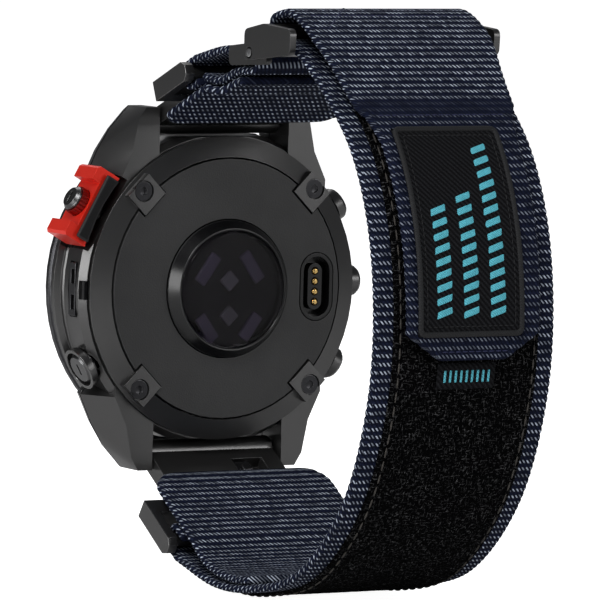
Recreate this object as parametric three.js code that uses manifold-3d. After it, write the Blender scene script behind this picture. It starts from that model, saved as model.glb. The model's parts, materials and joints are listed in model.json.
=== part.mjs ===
// Round sports watch worn on a wide hook-and-loop strap, closed in a loop.
// Millimetres. X runs across the wrist, +Y points from the wrist to the screen, +Z to twelve o'clock.
// The origin is the centre of the sensor window's flat rear face, which rests on the wrist.
import * as THREE from 'three';
import { mergeVertices } from 'three/addons/utils/BufferGeometryUtils.js';
import Module from 'manifold-3d';

const wasm = await Module();
wasm.setup();

// ---- driving dimensions ----
const gap = 0.3;
const caseRadius = 23.5;
const wallThickness = 2.5;
const plateY = 2.0;
const caseBackY = 4.0;
const shellY = 9.3;
const bezelY = 12.0;
const caseFrontY = 14.6;
const coverWidth = 1.5;
const screwHeadRadius = 1.45;
const sensorRadius = 10.2;
const lensRadius = 8.6;
const bezelOverhang = 0.8;
const bezelWidth = 5.9;
const lugInner = 11.0;
const lugLength = 3.3;
const pinY = 7.5;
const pinSetback = 2.2;
const pinRadius = 0.8;
const buttonY = 7.0;
const buttonDepth = 1.3;
const stemDepth = 4.5;
const buttonRise = 1.5;
const startRise = 4.2;
const stemRadius = 1.1;
const buttonTravel = 0.8;
const strapHalf = 14.9;
const webbing = 1.2;
const padHalf = 12.0;
const padThickness = 0.45;
const layerGap = 0.1;
const tailHalf = 11.0;
const patchHalf = 8.75;
const patchOffset = -0.85;
const topAngle = 23;
const bottomAngle = 33;
const roundSegments = 56;
const smallSegments = 18;

// ---- sizes that follow from them ----
const innerRadius = caseRadius - wallThickness;
const spigotRadius = innerRadius - gap;
const discRadius = spigotRadius - coverWidth;
const screwOffset = (spigotRadius - 0.05) * Math.SQRT1_2;
const bezelRadius = caseRadius + bezelOverhang;
const glassRadius = bezelRadius - bezelWidth;
const ledgeRadius = glassRadius - 1.0;
const shellBore = glassRadius - 0.4;
const lugTip = caseRadius + lugLength;
const pinZ = lugTip - pinSetback;
const pinHalf = lugInner + 1.8;
const buttonFloor = caseRadius - buttonDepth;
const stemInner = caseRadius - stemDepth;
const beyond = lugTip + 3.2;

// ---- materials ----
const gunmetal = { color: 0x5a5b5e, roughness: 0.42, metalness: 0.85 };
const darkMetal = { color: 0x3c3d40, roughness: 0.45, metalness: 0.8 };
const blackPlastic = { color: 0x121316, roughness: 0.35, metalness: 0 };
const mattePlastic = { color: 0x37383a, roughness: 0.7, metalness: 0 };
const darkGlass = { color: 0x17161c, roughness: 0.08, metalness: 0 };
const sensorGlass = { color: 0x3a3843, roughness: 0.2, metalness: 0 };
const redMetal = { color: 0xd8301f, roughness: 0.4, metalness: 0.6 };
const gold = { color: 0xd6b46e, roughness: 0.28, metalness: 1 };
const steel = { color: 0x8a8c90, roughness: 0.3, metalness: 1 };
const navyWebbing = { color: 0x1a2238, roughness: 0.9, metalness: 0 };
const blackPile = { color: 0x0c0c0e, roughness: 1, metalness: 0 };
const patchFabric = { color: 0x0e0f11, roughness: 0.95, metalness: 0 };
const boardGreen = { color: 0x1d4a36, roughness: 0.5, metalness: 0 };
const cellSilver = { color: 0x9a9ca0, roughness: 0.5, metalness: 0.3 };
const sealRubber = { color: 0x1b1b1b, roughness: 0.85, metalness: 0 };

const watch = new THREE.Group();

// ---- building helpers ----
function add(name, geometry, look) {
  const mesh = new THREE.Mesh(facesOut(geometry), new THREE.MeshStandardMaterial(look));
  mesh.name = name;
  watch.add(mesh);
  return mesh;
}

function welded(geometry) {
  const plain = geometry.clone();
  plain.deleteAttribute('normal');
  plain.deleteAttribute('uv');
  return mergeVertices(plain, 1e-4);
}

// Turns every face outwards when the solid comes out inside out.
function facesOut(geometry) {
  const closed = welded(geometry);
  const position = closed.attributes.position;
  const index = closed.index.array;
  const a = new THREE.Vector3();
  const b = new THREE.Vector3();
  const c = new THREE.Vector3();
  let volume = 0;
  for (let i = 0; i < index.length; i += 3) {
    a.fromBufferAttribute(position, index[i]);
    b.fromBufferAttribute(position, index[i + 1]);
    c.fromBufferAttribute(position, index[i + 2]);
    volume += a.dot(b.cross(c));
  }
  if (volume < 0) {
    for (let i = 0; i < index.length; i += 3) {
      const first = index[i];
      index[i] = index[i + 1];
      index[i + 1] = first;
    }
  }
  return closed;
}

function solid(geometry) {
  const closed = facesOut(geometry);
  const vertProperties = Float32Array.from(closed.attributes.position.array);
  const triVerts = Uint32Array.from(closed.index.array);
  return new wasm.Manifold(new wasm.Mesh({ numProp: 3, vertProperties, triVerts }));
}

function shaped(body) {
  const mesh = body.getMesh();
  const geometry = new THREE.BufferGeometry();
  geometry.setAttribute('position', new THREE.BufferAttribute(Float32Array.from(mesh.vertProperties), 3));
  geometry.setIndex(Array.from(mesh.triVerts));
  return geometry;
}

function cut(base, ...tools) {
  return shaped(tools.reduce((body, tool) => body.subtract(solid(tool)), solid(base)));
}

function join(base, ...others) {
  return shaped(others.reduce((body, other) => body.add(solid(other)), solid(base)));
}

function outlineShape(points) {
  return new THREE.Shape(points.map(([u, v]) => new THREE.Vector2(u, v)));
}

// A turned solid about the Y axis from [radius, y] pairs.
function turned(profile, segments = roundSegments) {
  const loop = profile.map(([radius, y]) => new THREE.Vector2(radius, y));
  const onAxis = profile[0][0] === 0 && profile[profile.length - 1][0] === 0;
  if (!onAxis) loop.push(loop[0].clone());
  return new THREE.LatheGeometry(loop, segments);
}

// An X-Z outline standing between two Y values.
function slab(shape, fromY, toY, curveSegments = 8) {
  const settings = { depth: toY - fromY, bevelEnabled: false, curveSegments };
  const geometry = new THREE.ExtrudeGeometry(shape, settings);
  geometry.rotateX(Math.PI / 2);
  return geometry.translate(0, toY, 0);
}

// A Y-Z outline standing between two X values.
function rail(shape, fromX, toX, curveSegments = 8) {
  const settings = { depth: toX - fromX, bevelEnabled: false, curveSegments };
  const geometry = new THREE.ExtrudeGeometry(shape, settings);
  const axes = new THREE.Matrix4().makeBasis(
    new THREE.Vector3(0, 1, 0), new THREE.Vector3(0, 0, 1), new THREE.Vector3(1, 0, 0));
  return geometry.applyMatrix4(axes).translate(fromX, 0, 0);
}

function box(x0, x1, y0, y1, z0, z1) {
  const geometry = new THREE.BoxGeometry(x1 - x0, y1 - y0, z1 - z0);
  return geometry.translate((x0 + x1) / 2, (y0 + y1) / 2, (z0 + z1) / 2);
}

function discY(radius, fromY, toY, x = 0, z = 0, segments = smallSegments) {
  const geometry = new THREE.CylinderGeometry(radius, radius, toY - fromY, segments);
  return geometry.translate(x, (fromY + toY) / 2, z);
}

function rodX(radius, halfLength, y, z, segments = smallSegments) {
  const geometry = new THREE.CylinderGeometry(radius, radius, 2 * halfLength, segments);
  return geometry.rotateZ(Math.PI / 2).translate(0, y, z);
}

// A rounded slot outline, long way up.
function stadium(length, width, x = 0) {
  const radius = width / 2;
  const reach = length / 2 - radius;
  const shape = new THREE.Shape();
  shape.absarc(x, reach, radius, 0, Math.PI);
  shape.absarc(x, -reach, radius, Math.PI, 2 * Math.PI);
  return shape;
}

function rectangle(u, v, halfU, halfV, turn) {
  const corners = [[-halfU, -halfV], [halfU, -halfV], [halfU, halfV], [-halfU, halfV]];
  const c = Math.cos(turn);
  const s = Math.sin(turn);
  return outlineShape(corners.map(([a, b]) => [u + a * c - b * s, v + a * s + b * c]));
}

// Sets a solid built along +X (outwards from the case axis) at a clock direction in the X-Z plane.
function outward(geometry, degrees) {
  return geometry.rotateY(-THREE.MathUtils.degToRad(degrees));
}

function mirrored(geometry, axis) {
  const scale = [1, 1, 1];
  scale[axis] = -1;
  return facesOut(geometry.clone().scale(...scale));
}

// ---- webbing ----
// A smooth Y-Z line through hand-placed points, with both ends kept.
function curveLine(points, steps) {
  const route = points.map(([y, z]) => new THREE.Vector3(0, y, z));
  const curve = new THREE.CatmullRomCurve3(route, false, 'centripetal');
  return curve.getSpacedPoints(steps).map((point) => [point.y, point.z]);
}

function arcLine([y, z], radius, fromDegrees, toDegrees, steps) {
  return Array.from({ length: steps + 1 }, (_, i) => {
    const angle = THREE.MathUtils.degToRad(fromDegrees + ((toDegrees - fromDegrees) * i) / steps);
    return [y + radius * Math.cos(angle), z + radius * Math.sin(angle)];
  });
}

// Gives each point its left-hand normal and its distance from the start.
function stations(points) {
  let reach = 0;
  return points.map(([y, z], i) => {
    const [y0, z0] = points[Math.max(i - 1, 0)];
    const [y1, z1] = points[Math.min(i + 1, points.length - 1)];
    const length = Math.hypot(y1 - y0, z1 - z0);
    if (i > 0) reach += Math.hypot(y - y0, z - z0);
    return { y, z, ny: -(z1 - z0) / length, nz: (y1 - y0) / length, reach };
  });
}

function shifted(line, offset) {
  return line.map((s) => [s.y + s.ny * offset, s.z + s.nz * offset]);
}

// A flat band along stations between two offsets, with a half-width for each distance from its start.
function band(line, low, high, halfAt) {
  const corners = [];
  for (const s of line) {
    const half = halfAt(s.reach - line[0].reach);
    for (const [side, offset] of [[-1, low], [1, low], [1, high], [-1, high]]) {
      corners.push(side * half, s.y + s.ny * offset, s.z + s.nz * offset);
    }
  }
  const faces = [];
  for (let i = 0; i + 1 < line.length; i += 1) {
    for (let k = 0; k < 4; k += 1) {
      const a = 4 * i + k;
      const b = 4 * i + ((k + 1) % 4);
      faces.push(a, b, b + 4, a, b + 4, a + 4);
    }
  }
  const last = 4 * (line.length - 1);
  faces.push(2, 1, 0, 3, 2, 0, last, last + 1, last + 2, last, last + 2, last + 3);
  const geometry = new THREE.BufferGeometry();
  geometry.setAttribute('position', new THREE.BufferAttribute(new Float32Array(corners), 3));
  geometry.setIndex(faces);
  return geometry;
}

const evenHalf = (half) => () => half;

// A half-width read off [distance, half-width] pairs.
function steppedHalf(pairs) {
  return (reach) => {
    const next = pairs.findIndex(([distance]) => distance >= reach);
    if (next < 0) return pairs[pairs.length - 1][1];
    if (next === 0) return pairs[0][1];
    const [d0, h0] = pairs[next - 1];
    const [d1, h1] = pairs[next];
    return h0 + ((h1 - h0) * (reach - d0)) / (d1 - d0);
  };
}

// ---- case: ring with four lugs, cut for the buttons ----
const buttons = [
  { name: 'upper_right', degrees: 29.5, radius: 2.5 },
  { name: 'middle_right', degrees: 1.0, radius: 2.3 },
  { name: 'lower_right', degrees: -29.5, radius: 2.5 },
  { name: 'start', degrees: 150.5, radius: 1.9 },
  { name: 'lower_left', degrees: 208.5, radius: 2.4 },
];
const startButton = buttons[3];
const screwPlaces = [[-1, 1], [1, 1], [1, -1], [-1, -1]]
  .map(([x, z]) => [x * screwOffset, z * screwOffset]);
const guardHalf = 5.7;
const guardTop = caseRadius + 3.6;
const guardFloor = guardTop - 1.4;

// Triangles over an outline, wound the same way round as it.
function capFaces(outline) {
  const flat = outline.map(([u, v]) => new THREE.Vector2(u, v));
  const wind = (points) => Math.sign(THREE.ShapeUtils.area(points));
  return THREE.ShapeUtils.triangulateShape(flat, []).map(([a, b, c]) => {
    const same = wind([flat[a], flat[b], flat[c]]) === wind(flat);
    return same ? [a, b, c] : [a, c, b];
  });
}

function lugSide(backOutline, frontOutline, backY, frontY) {
  const count = backOutline.length;
  const corners = [];
  for (const [x, z] of backOutline) corners.push(x, backY, z);
  for (const [x, z] of frontOutline) corners.push(x, frontY, z);
  const faces = [];
  for (let i = 0; i < count; i += 1) {
    const next = (i + 1) % count;
    faces.push(i, next, next + count, i, next + count, i + count);
  }
  for (const [a, b, c] of capFaces(backOutline)) faces.push(c, b, a);
  for (const [a, b, c] of capFaces(frontOutline)) faces.push(a + count, b + count, c + count);
  const geometry = new THREE.BufferGeometry();
  geometry.setAttribute('position', new THREE.BufferAttribute(new Float32Array(corners), 3));
  geometry.setIndex(faces);
  return geometry;
}

// Lug outlines for the quarter with X and Z positive, wider towards the screen. Each corner is given by
// how far it stands out from the strap's gap and how far back from the lug's tip.
function lugOutline(corners) {
  const root = [[6.5, 13.8], [0, 10.8]];
  return [...root, ...corners].map(([out, back]) => [lugInner + out, lugTip - back]);
}

const lugBack = lugOutline([[0, 0], [2.4, 0], [3.6, 1.9], [4.6, 6.8], [6.6, 11.0]]);
const lugFront = lugOutline([[0, 0], [2.2, 0], [5.4, 3.4], [7.4, 6.6], [9.4, 11.0]]);
const lugEnd = lugOutline([[0, 0.8], [1.4, 0.8], [4.0, 3.6], [6.2, 6.8], [8.2, 11.0]]);

function fourWays(geometry) {
  const right = [geometry, mirrored(geometry, 2)];
  return [...right, ...right.map((piece) => mirrored(piece, 0))];
}

function guardClearance() {
  const reach = guardHalf + gap;
  return outward(box(buttonFloor, beyond, 3.4, 11.0, -reach, reach), startButton.degrees);
}

// Room for the collar round the lower left button, should a lug reach that far.
function collarClearance() {
  const { degrees, radius } = buttons[4];
  const room = new THREE.CylinderGeometry(radius + 0.9 + gap, radius + 0.9 + gap, 6, 24);
  return outward(room.rotateZ(Math.PI / 2).translate(caseRadius + gap + 3, buttonY, 0), degrees);
}

function caseRing() {
  const outer = turned([[innerRadius, caseBackY], [caseRadius - 0.8, caseBackY], [caseRadius, 5.2],
    [caseRadius, shellY], [innerRadius, shellY]]);
  const lugs = fourWays(lugSide(lugBack, lugFront, 3.8, shellY));
  return join(outer, ...lugs);
}

function lugGapCuts(fromY, toY) {
  const half = lugInner + 0.05;
  const inner = caseRadius - 1.2;
  return [box(-half, half, fromY, toY, inner, beyond), box(-half, half, fromY, toY, -beyond, -inner)];
}

function pinHoles() {
  return [pinZ, -pinZ].map((z) => rodX(pinRadius + 0.2, pinHalf + 0.4, pinY, z));
}

function buttonBores() {
  return buttons.flatMap(({ degrees, radius }) => {
    const stem = new THREE.CylinderGeometry(stemRadius + 0.25, stemRadius + 0.25, 8, smallSegments);
    const pocket = new THREE.CylinderGeometry(radius + gap, radius + gap, 6, smallSegments);
    return [
      outward(stem.rotateZ(Math.PI / 2).translate(caseRadius - 1.5, buttonY, 0), degrees),
      outward(pocket.rotateZ(Math.PI / 2).translate(buttonFloor + 3, buttonY, 0), degrees),
    ];
  });
}

const insideCut = turned([[0, 3], [innerRadius, 3], [innerRadius, 15], [0, 15]]);
const grilleHalf = 4.1;
const grillePocket = box(-beyond, 0.9 - caseRadius, 5.8, 8.1, -grilleHalf, grilleHalf);
const airNotch = box(-caseRadius - 1.5, 1.2 - caseRadius, 3, 5.1, -1.4, 1.4);

function midCase() {
  const screwHoles = screwPlaces.map(([x, z]) => discY(1.0, 3, 6.2, x, z));
  return cut(caseRing(), insideCut, ...lugGapCuts(3, 10), ...pinHoles(), ...buttonBores(),
    guardClearance(), collarClearance(), grillePocket, airNotch, ...screwHoles);
}

add('mid_case', midCase(), gunmetal);

// Front shell with the screen side halves of the lugs.
function frontShell() {
  const fromY = shellY + gap;
  const ring = turned([[shellBore, fromY], [caseRadius - 0.4, fromY], [caseRadius - 0.1, fromY + 0.4],
    [caseRadius - 0.1, bezelY - 1.4], [bezelRadius, bezelY - 1.0], [bezelRadius, bezelY - 0.3],
    [bezelRadius - 0.3, bezelY], [shellBore, bezelY]]);
  const lugs = fourWays(lugSide(lugFront, lugEnd, fromY, 12.4));
  const wide = join(ring, ...lugs);
  const inside = turned([[0, 9], [shellBore, 9], [shellBore, 13], [0, 13]]);
  return cut(wide, inside, ...lugGapCuts(9, 13), guardClearance(), collarClearance(),
    bezelRoom());
}

// The bezel's seat is kept free of the lugs.
function bezelRoom() {
  const room = bezelRadius + gap;
  return turned([[0, bezelY], [room, bezelY], [room, 15], [0, 15]]);
}

add('front_shell', frontShell(), gunmetal);

// Bezel with a bevel down to the glass and a ledge under it.
add('bezel', turned([[ledgeRadius, bezelY + gap], [bezelRadius - 0.3, bezelY + gap],
  [bezelRadius, bezelY + 0.8], [bezelRadius, bezelY + 1.5], [bezelRadius - 0.9, caseFrontY - 0.5],
  [bezelRadius - 2.3, caseFrontY], [glassRadius + 1.2, caseFrontY], [glassRadius + gap, caseFrontY - 0.4],
  [glassRadius + gap, 13.1], [ledgeRadius, 13.1]]), darkMetal);
add('front_glass', turned([[0, 13.3], [glassRadius, 13.3], [glassRadius, 14.1],
  [glassRadius - 0.3, 14.4], [0, 14.4]]), darkGlass);
add('display_module', discY(ledgeRadius - 0.4, 11.4, 12.9, 0, 0, 48), darkGlass);
add('main_board', discY(shellBore - 0.8, 10.0, 11.0, 0, 0, 32), boardGreen);
add('battery', box(-12.5, 11.5, 4.9, shellY, -9.5, 9.5), cellSilver);
const motor = new THREE.CylinderGeometry(1.9, 1.9, 8, smallSegments);
add('vibration_motor', motor.rotateZ(Math.PI / 2).translate(0, 7.2, -13.5), steel);

// ---- back: metal ring with four screw tabs round a matte plate ----
function tab(x, z, clearance) {
  const half = screwHeadRadius + 0.85 + clearance;
  const inner = discRadius - 1.3 - clearance;
  return outward(box(inner, innerRadius + 1.0, plateY - 0.3, plateY + 1.0 + clearance, -half, half),
    THREE.MathUtils.radToDeg(Math.atan2(z, x)));
}

function backCover() {
  const rim = caseRadius - 1.0;
  const spigotEnd = 5.6;
  const ring = turned([[discRadius + gap, 2.2], [rim, 3.3], [rim, 3.7], [spigotRadius, 3.7],
    [spigotRadius, spigotEnd], [discRadius + gap, spigotEnd]]);
  const tabs = screwPlaces.map(([x, z]) => tab(x, z, 0));
  const holes = screwPlaces.map(([x, z]) => discY(0.9, 1, 8, x, z));
  const seats = screwPlaces.map(([x, z]) => discY(screwHeadRadius + 0.15, 1, 2.6, x, z));
  return cut(join(ring, ...tabs), ...holes, ...seats);
}

add('back_cover', backCover(), gunmetal);
screwPlaces.forEach(([x, z], i) => {
  const head = discY(screwHeadRadius, 1.9, 2.5, x, z);
  const shank = discY(0.7, 2.4, 5.9, x, z, 12);
  const recess = new THREE.CylinderGeometry(0.65, 0.65, 0.5, 6).translate(x, 1.95, z);
  add(`rear_screw_${i + 1}`, cut(join(head, shank), recess), darkMetal);
});

const portX = 15.4;
function backPlate() {
  const plate = discY(discRadius, plateY, 3.6, 0, 0, roundSegments);
  const notches = screwPlaces.map(([x, z]) => tab(x, z, 0.2));
  const sensorHole = discY(sensorRadius + 0.15, 1, 5, 0, 0, 48);
  return cut(plate, sensorHole, slab(stadium(10.3, 5.8, portX), 1, 5), ...notches);
}

add('back_plate', backPlate(), mattePlastic);
const gasketInner = discRadius - 0.7;
add('back_gasket', turned([[gasketInner, 3.9], [discRadius, 3.9], [discRadius, 4.6], [gasketInner, 4.6]]),
  sealRubber);

// Sensor: a sloped ring round the dark lens, six optical windows and their board.
const lensBore = lensRadius + 0.15;
add('sensor_ring', turned([[lensBore, 0.2], [lensBore + gap, 0.1], [sensorRadius, 1.8],
  [sensorRadius, 3.4], [lensBore, 3.4]], 48), blackPlastic);
add('sensor_lens', turned([[0, 0], [lensRadius - 0.3, 0], [lensRadius, 0.25], [lensRadius, 1.3],
  [0, 1.3]], 48), darkGlass);
const windows = [
  rectangle(0.1, 1.2, 1.15, 1.15, Math.PI / 4),
  rectangle(0.1, -4.0, 1.15, 1.15, Math.PI / 4),
  rectangle(-3.6, 3.0, 0.95, 2.5, -0.62),
  rectangle(3.9, 3.2, 0.95, 2.5, 0.62),
  rectangle(-3.6, -5.8, 0.95, 2.2, 0.62),
  rectangle(3.8, -5.7, 0.95, 2.2, -0.62),
];
windows.forEach((shape, i) => add(`optic_window_${i + 1}`, slab(shape, 1.5, 2.1), sensorGlass));
add('sensor_board', discY(lensRadius - 0.2, 2.4, 3.2, 0, 0, 32), boardGreen);

// Charging port: a cup with a raised island that carries four contacts.
const contactPlaces = [2.3, 0.77, -0.77, -2.3];
function chargePort() {
  const cup = slab(stadium(10.0, 5.5, portX), plateY, 5.4);
  const hollow = slab(stadium(9.0, 4.5, portX), 1, 4.0);
  const island = slab(stadium(6.9, 2.4, portX), 2.5, 4.5);
  const holes = contactPlaces.map((z) => discY(0.62, 1, 7, portX, z, 12));
  return cut(join(cut(cup, hollow), island), ...holes);
}

add('charge_port', chargePort(), blackPlastic);
contactPlaces.forEach((z, i) => {
  const pin = turned([[0, 2.2], [0.3, 2.2], [0.5, 2.4], [0.5, 5.0], [0, 5.0]], 12);
  add(`contact_pin_${i + 1}`, pin.translate(portX, 0, z), gold);
});

// ---- buttons: a domed cap on a stem through the case wall ----
function button(radius, knurled, reach) {
  const base = buttonFloor + buttonTravel + gap;
  const teeth = knurled ? 18 : smallSegments;
  const rimEnd = reach - 0.5;
  const rim = new THREE.CylinderGeometry(radius, radius, rimEnd - base, teeth);
  const dome = new THREE.CylinderGeometry(radius, radius - 0.4, 0.6, teeth);
  const stem = new THREE.CylinderGeometry(stemRadius, stemRadius, base - stemInner + 0.5, 16);
  const along = (geometry, x) => geometry.rotateZ(Math.PI / 2).translate(x, buttonY, 0);
  const cap = join(along(rim, (rimEnd + base) / 2), along(dome, rimEnd + 0.2),
    along(stem, (base + 0.5 + stemInner) / 2));
  const slot = box(rimEnd + 0.2, reach + 1, buttonY - 0.22, buttonY + 0.22, -0.9, 0.9);
  return knurled ? cut(cap, slot) : cap;
}

for (const { name, degrees, radius } of buttons) {
  const knurled = name === 'start' || name === 'lower_left';
  const reach = caseRadius + (name === 'start' ? startRise : buttonRise);
  add(`${name}_button`, outward(button(radius, knurled, reach), degrees), knurled ? steel : darkMetal);
}

// Red guard round the start button, seated on the case wall, with a black rail on each side.
function guardBlock(x0, x1, y0, y1, halfZ) {
  return box(x0, x1, y0, y1, -halfZ, halfZ);
}

function wallSeat() {
  const clear = caseRadius + gap;
  return turned([[0, 2], [clear, 2], [clear, 12], [0, 12]]);
}

function startGuard() {
  const face = outlineShape([[4.4, -guardHalf], [10.0, -guardHalf], [10.0, guardHalf], [4.4, guardHalf]]);
  const block = rail(face, caseRadius - 0.9, guardTop);
  const valley = guardBlock(guardFloor, guardTop + 3, 3, 12, 3.5);
  const hole = new THREE.CylinderGeometry(startButton.radius + gap, startButton.radius + gap, 8, 24);
  const ends = [1, -1].map((side) => {
    const corners = [[guardTop - 1.2, guardHalf + 1], [guardTop + 1, guardHalf + 1],
      [guardTop + 1, guardHalf - 1.6]];
    return slab(outlineShape(corners.map(([u, v]) => [u, side * v])), 3, 12);
  });
  const drilled = cut(block, valley, hole.rotateZ(Math.PI / 2).translate(caseRadius + 0.5, buttonY, 0),
    ...ends);
  return cut(outward(drilled, startButton.degrees), wallSeat());
}

function guardRail(fromY, toY) {
  const bar = guardBlock(caseRadius - 0.6, guardFloor - 0.3, fromY, toY, guardHalf - 0.6);
  return cut(outward(bar, startButton.degrees), wallSeat());
}

add('start_guard', startGuard(), redMetal);
add('guard_rail_back', guardRail(3.6, 4.2), blackPlastic);
add('guard_rail_front', guardRail(10.2, 10.8), blackPlastic);

// Collar round the lower left button.
function lowerCollar() {
  const { degrees, radius } = buttons[4];
  const middle = caseRadius + 0.9;
  const outer = new THREE.CylinderGeometry(radius + 0.75, radius + 0.9, 1.2, 24);
  const inner = new THREE.CylinderGeometry(radius + 0.35, radius + 0.35, 4, 24);
  const ring = cut(outer.rotateZ(Math.PI / 2).translate(middle, buttonY, 0),
    inner.rotateZ(Math.PI / 2).translate(middle, buttonY, 0));
  return cut(outward(ring, degrees), wallSeat());
}

add('lower_collar', lowerCollar(), gunmetal);

// Speaker grille set in the side pocket, with two slots.
function speakerGrille() {
  const half = grilleHalf - 0.2;
  const plate = box(-caseRadius, 0.6 - caseRadius, 6.0, 7.9, -half, half);
  const slots = [1.9, -1.9].map((z) => box(-beyond, 0, 6.3, 7.3, z - 1.1, z + 1.1));
  return cut(plate, ...slots);
}

add('speaker_grille', speakerGrille(), darkMetal);

// ---- strap hardware ----
// A connector is drawn with its pin at the origin, reaching along -Y, then turned about the pin.
const tongueEnd = 13.0;
const frameStart = 12.6;
const slotStart = 15.4;
const barReach = 20.0;
const barRadius = 1.0;
const frameEnd = 22.2;
const frameHalf = strapHalf + gap + 1.5;
const tongueHalf = lugInner - 0.4;
const frameRise = 1.5;
const strapLeave = 24.0;

function connectorShape() {
  const eye = rodX(pinRadius + 1.2, tongueHalf, 0, 0, 28);
  const tongue = box(-tongueHalf, tongueHalf, -tongueEnd, -1.0, -1.3, 1.3);
  const side = outlineShape([[-frameStart, -frameRise], [-frameStart, frameRise],
    [-frameEnd + 1, frameRise], [-frameEnd, 0.7], [-frameEnd, -0.7], [-frameEnd + 1, -frameRise]]);
  const frame = rail(side, -frameHalf, frameHalf);
  const slot = box(-strapHalf - gap, strapHalf + gap, -frameEnd - 1, -slotStart, -3, 3);
  const bar = rodX(barRadius, strapHalf + gap + 0.5, -barReach, 0);
  const hole = rodX(pinRadius + 0.2, lugInner + 1, 0, 0);
  const latchRoom = box(2.4, 7.6, -8.4, -3.6, -3, 0.5);
  return join(cut(join(eye, tongue, frame), slot, hole, latchRoom), bar);
}

// The thumb latch slides across the tongue to free the pin.
function latchShape() {
  return join(box(2.7, 5.3, -8.1, -3.9, -0.9, 0.2), box(3.2, 4.8, -6.6, -5.4, -1.6, -0.8));
}

function hung(geometry, side) {
  const upright = side > 0 ? geometry : mirrored(geometry, 2);
  const angle = side > 0 ? -topAngle : bottomAngle;
  return upright.rotateX(THREE.MathUtils.degToRad(angle)).translate(0, pinY, side * pinZ);
}

for (const [place, side] of [['top', 1], ['bottom', -1]]) {
  add(`lug_pin_${place}`, rodX(pinRadius, pinHalf, pinY, side * pinZ), steel);
  add(`connector_${place}`, hung(connectorShape(), side), gunmetal);
  add(`release_latch_${place}`, hung(latchShape(), side), darkMetal);
}

// A point given by its reach along a connector and its height on the side away from the wrist.
function onConnector(reach, height, side) {
  const angle = THREE.MathUtils.degToRad(side > 0 ? topAngle : bottomAngle);
  const y = pinY - reach * Math.cos(angle) + height * Math.sin(angle);
  const z = pinZ + reach * Math.sin(angle) + height * Math.cos(angle);
  return [y, side * z];
}

// Route points of the webbing and the buckle stand off the two lug pins along Z.
const overTop = (y, rise) => [y, pinZ + rise];
const underBottom = (y, drop) => [y, -pinZ - drop];

// ---- buckle at the top: a hinge frame on the short strap and a swinging ring on the long strap ----
const shortBar = overTop(-28.2, 11.0);
const shortBarRadius = 0.9;
const foldCentre = overTop(-35.2, 15.6);
const foldRadius = 1.4;
const ringBar = overTop(-35.2, 15.3);
const ringBarRadius = 1.0;
const hingePin = overTop(-32.2, 12.1);
const armInner = strapHalf + gap;
const armSplit = armInner + 1.0;
const armOuter = armSplit + gap + 1.0;

const hingeBore = rodX(0.85, armOuter + 1, ...hingePin);

function bothSides(shape, inner, outer) {
  const right = rail(shape, inner, outer);
  return [right, mirrored(right, 0)];
}

// A closed outline through corners given by Y and rise over the top pin, each corner rounded off.
function roundOutline(corners, radius) {
  const points = corners.map(([y, rise]) => new THREE.Vector2(...overTop(y, rise)));
  const count = points.length;
  return new THREE.Shape(points.flatMap((corner, i) => {
    const before = points[(i + count - 1) % count].clone().sub(corner).normalize();
    const after = points[(i + 1) % count].clone().sub(corner).normalize();
    const reach = Math.min(radius / Math.tan(Math.acos(before.dot(after)) / 2), 3 * radius);
    const start = corner.clone().addScaledVector(before, reach);
    const end = corner.clone().addScaledVector(after, reach);
    return new THREE.QuadraticBezierCurve(start, corner, end).getPoints(5);
  }));
}

function hingeFrame() {
  const arms = bothSides(roundOutline([[-24.5, 9.9], [-24.3, 12.7], [-34.7, 13.9], [-34.9, 10.5]], 1.0),
    armInner, armSplit);
  const bar = rodX(shortBarRadius, armInner + 0.4, ...shortBar);
  return cut(join(arms[0], arms[1], bar), hingeBore);
}

function swingRing() {
  const arms = bothSides(roundOutline([[-30.8, 10.9], [-30.8, 15.4], [-36.0, 16.4], [-43.6, 15.9],
    [-43.4, 12.3]], 1.1), armSplit + gap, armOuter);
  const bar = rodX(ringBarRadius, armOuter - 0.4, ...ringBar);
  return cut(join(arms[0], arms[1], bar), hingeBore);
}

add('hinge_frame', hingeFrame(), gunmetal);
add('swing_ring', swingRing(), gunmetal);
add('ring_hinge_pin', rodX(0.65, armOuter + 0.1, ...hingePin, 16), steel);

// ---- short strap: one webbing strip from the top connector's bar to the hinge frame's bar ----
const wrapInner = barRadius + 0.15;
const linerLow = webbing + gap;
const linerHigh = 2 * webbing + gap;
const linerHalf = steppedHalf([[0, strapHalf - 3.6], [0.5, strapHalf - 1.9], [1.3, strapHalf - 0.9],
  [2.4, strapHalf - 0.2], [3.6, strapHalf]]);
const linerStart = 9.2;

const shortFrame = shortBarRadius + 0.2;
const shortUnder = curveLine([[shortBar[0], shortBar[1] - shortFrame], overTop(-24.0, 9.6),
  overTop(-19.0, 8.0), onConnector(strapLeave, -wrapInner, 1)], 12);
const shortWrap = arcLine(onConnector(barReach, 0, 1), wrapInner, -90 - topAngle, 90 - topAngle, 10);
const shortOver = curveLine([onConnector(barReach + 2, wrapInner, 1), overTop(-19.5, 11.2),
  overTop(-24.0, 11.6), [shortBar[0], shortBar[1] + shortFrame]], 12);
const shortTurn = arcLine(shortBar, shortFrame, 90, 262, 12);
const linerReach = [0, 0.5, 1.3, 2.4, 3.6].map((reach) => linerStart + reach);

// The strip runs round the connector's bar, over to the hinge frame's bar, and back underneath.
const shortLine = [onConnector(barReach + 2, -wrapInner, 1), ...shortWrap, ...shortOver, ...shortTurn,
  ...shortUnder.slice(1)];
add('short_strap', band(stations(shortLine), -webbing, 0, evenHalf(strapHalf)), navyWebbing);
const topLiner = stations([...linerReach.map((reach) => onConnector(reach, -wrapInner, 1)),
  ...shortUnder.slice(2).reverse()]);
add('short_strap_liner', band(topLiner, linerLow, linerHigh, linerHalf), navyWebbing);

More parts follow.
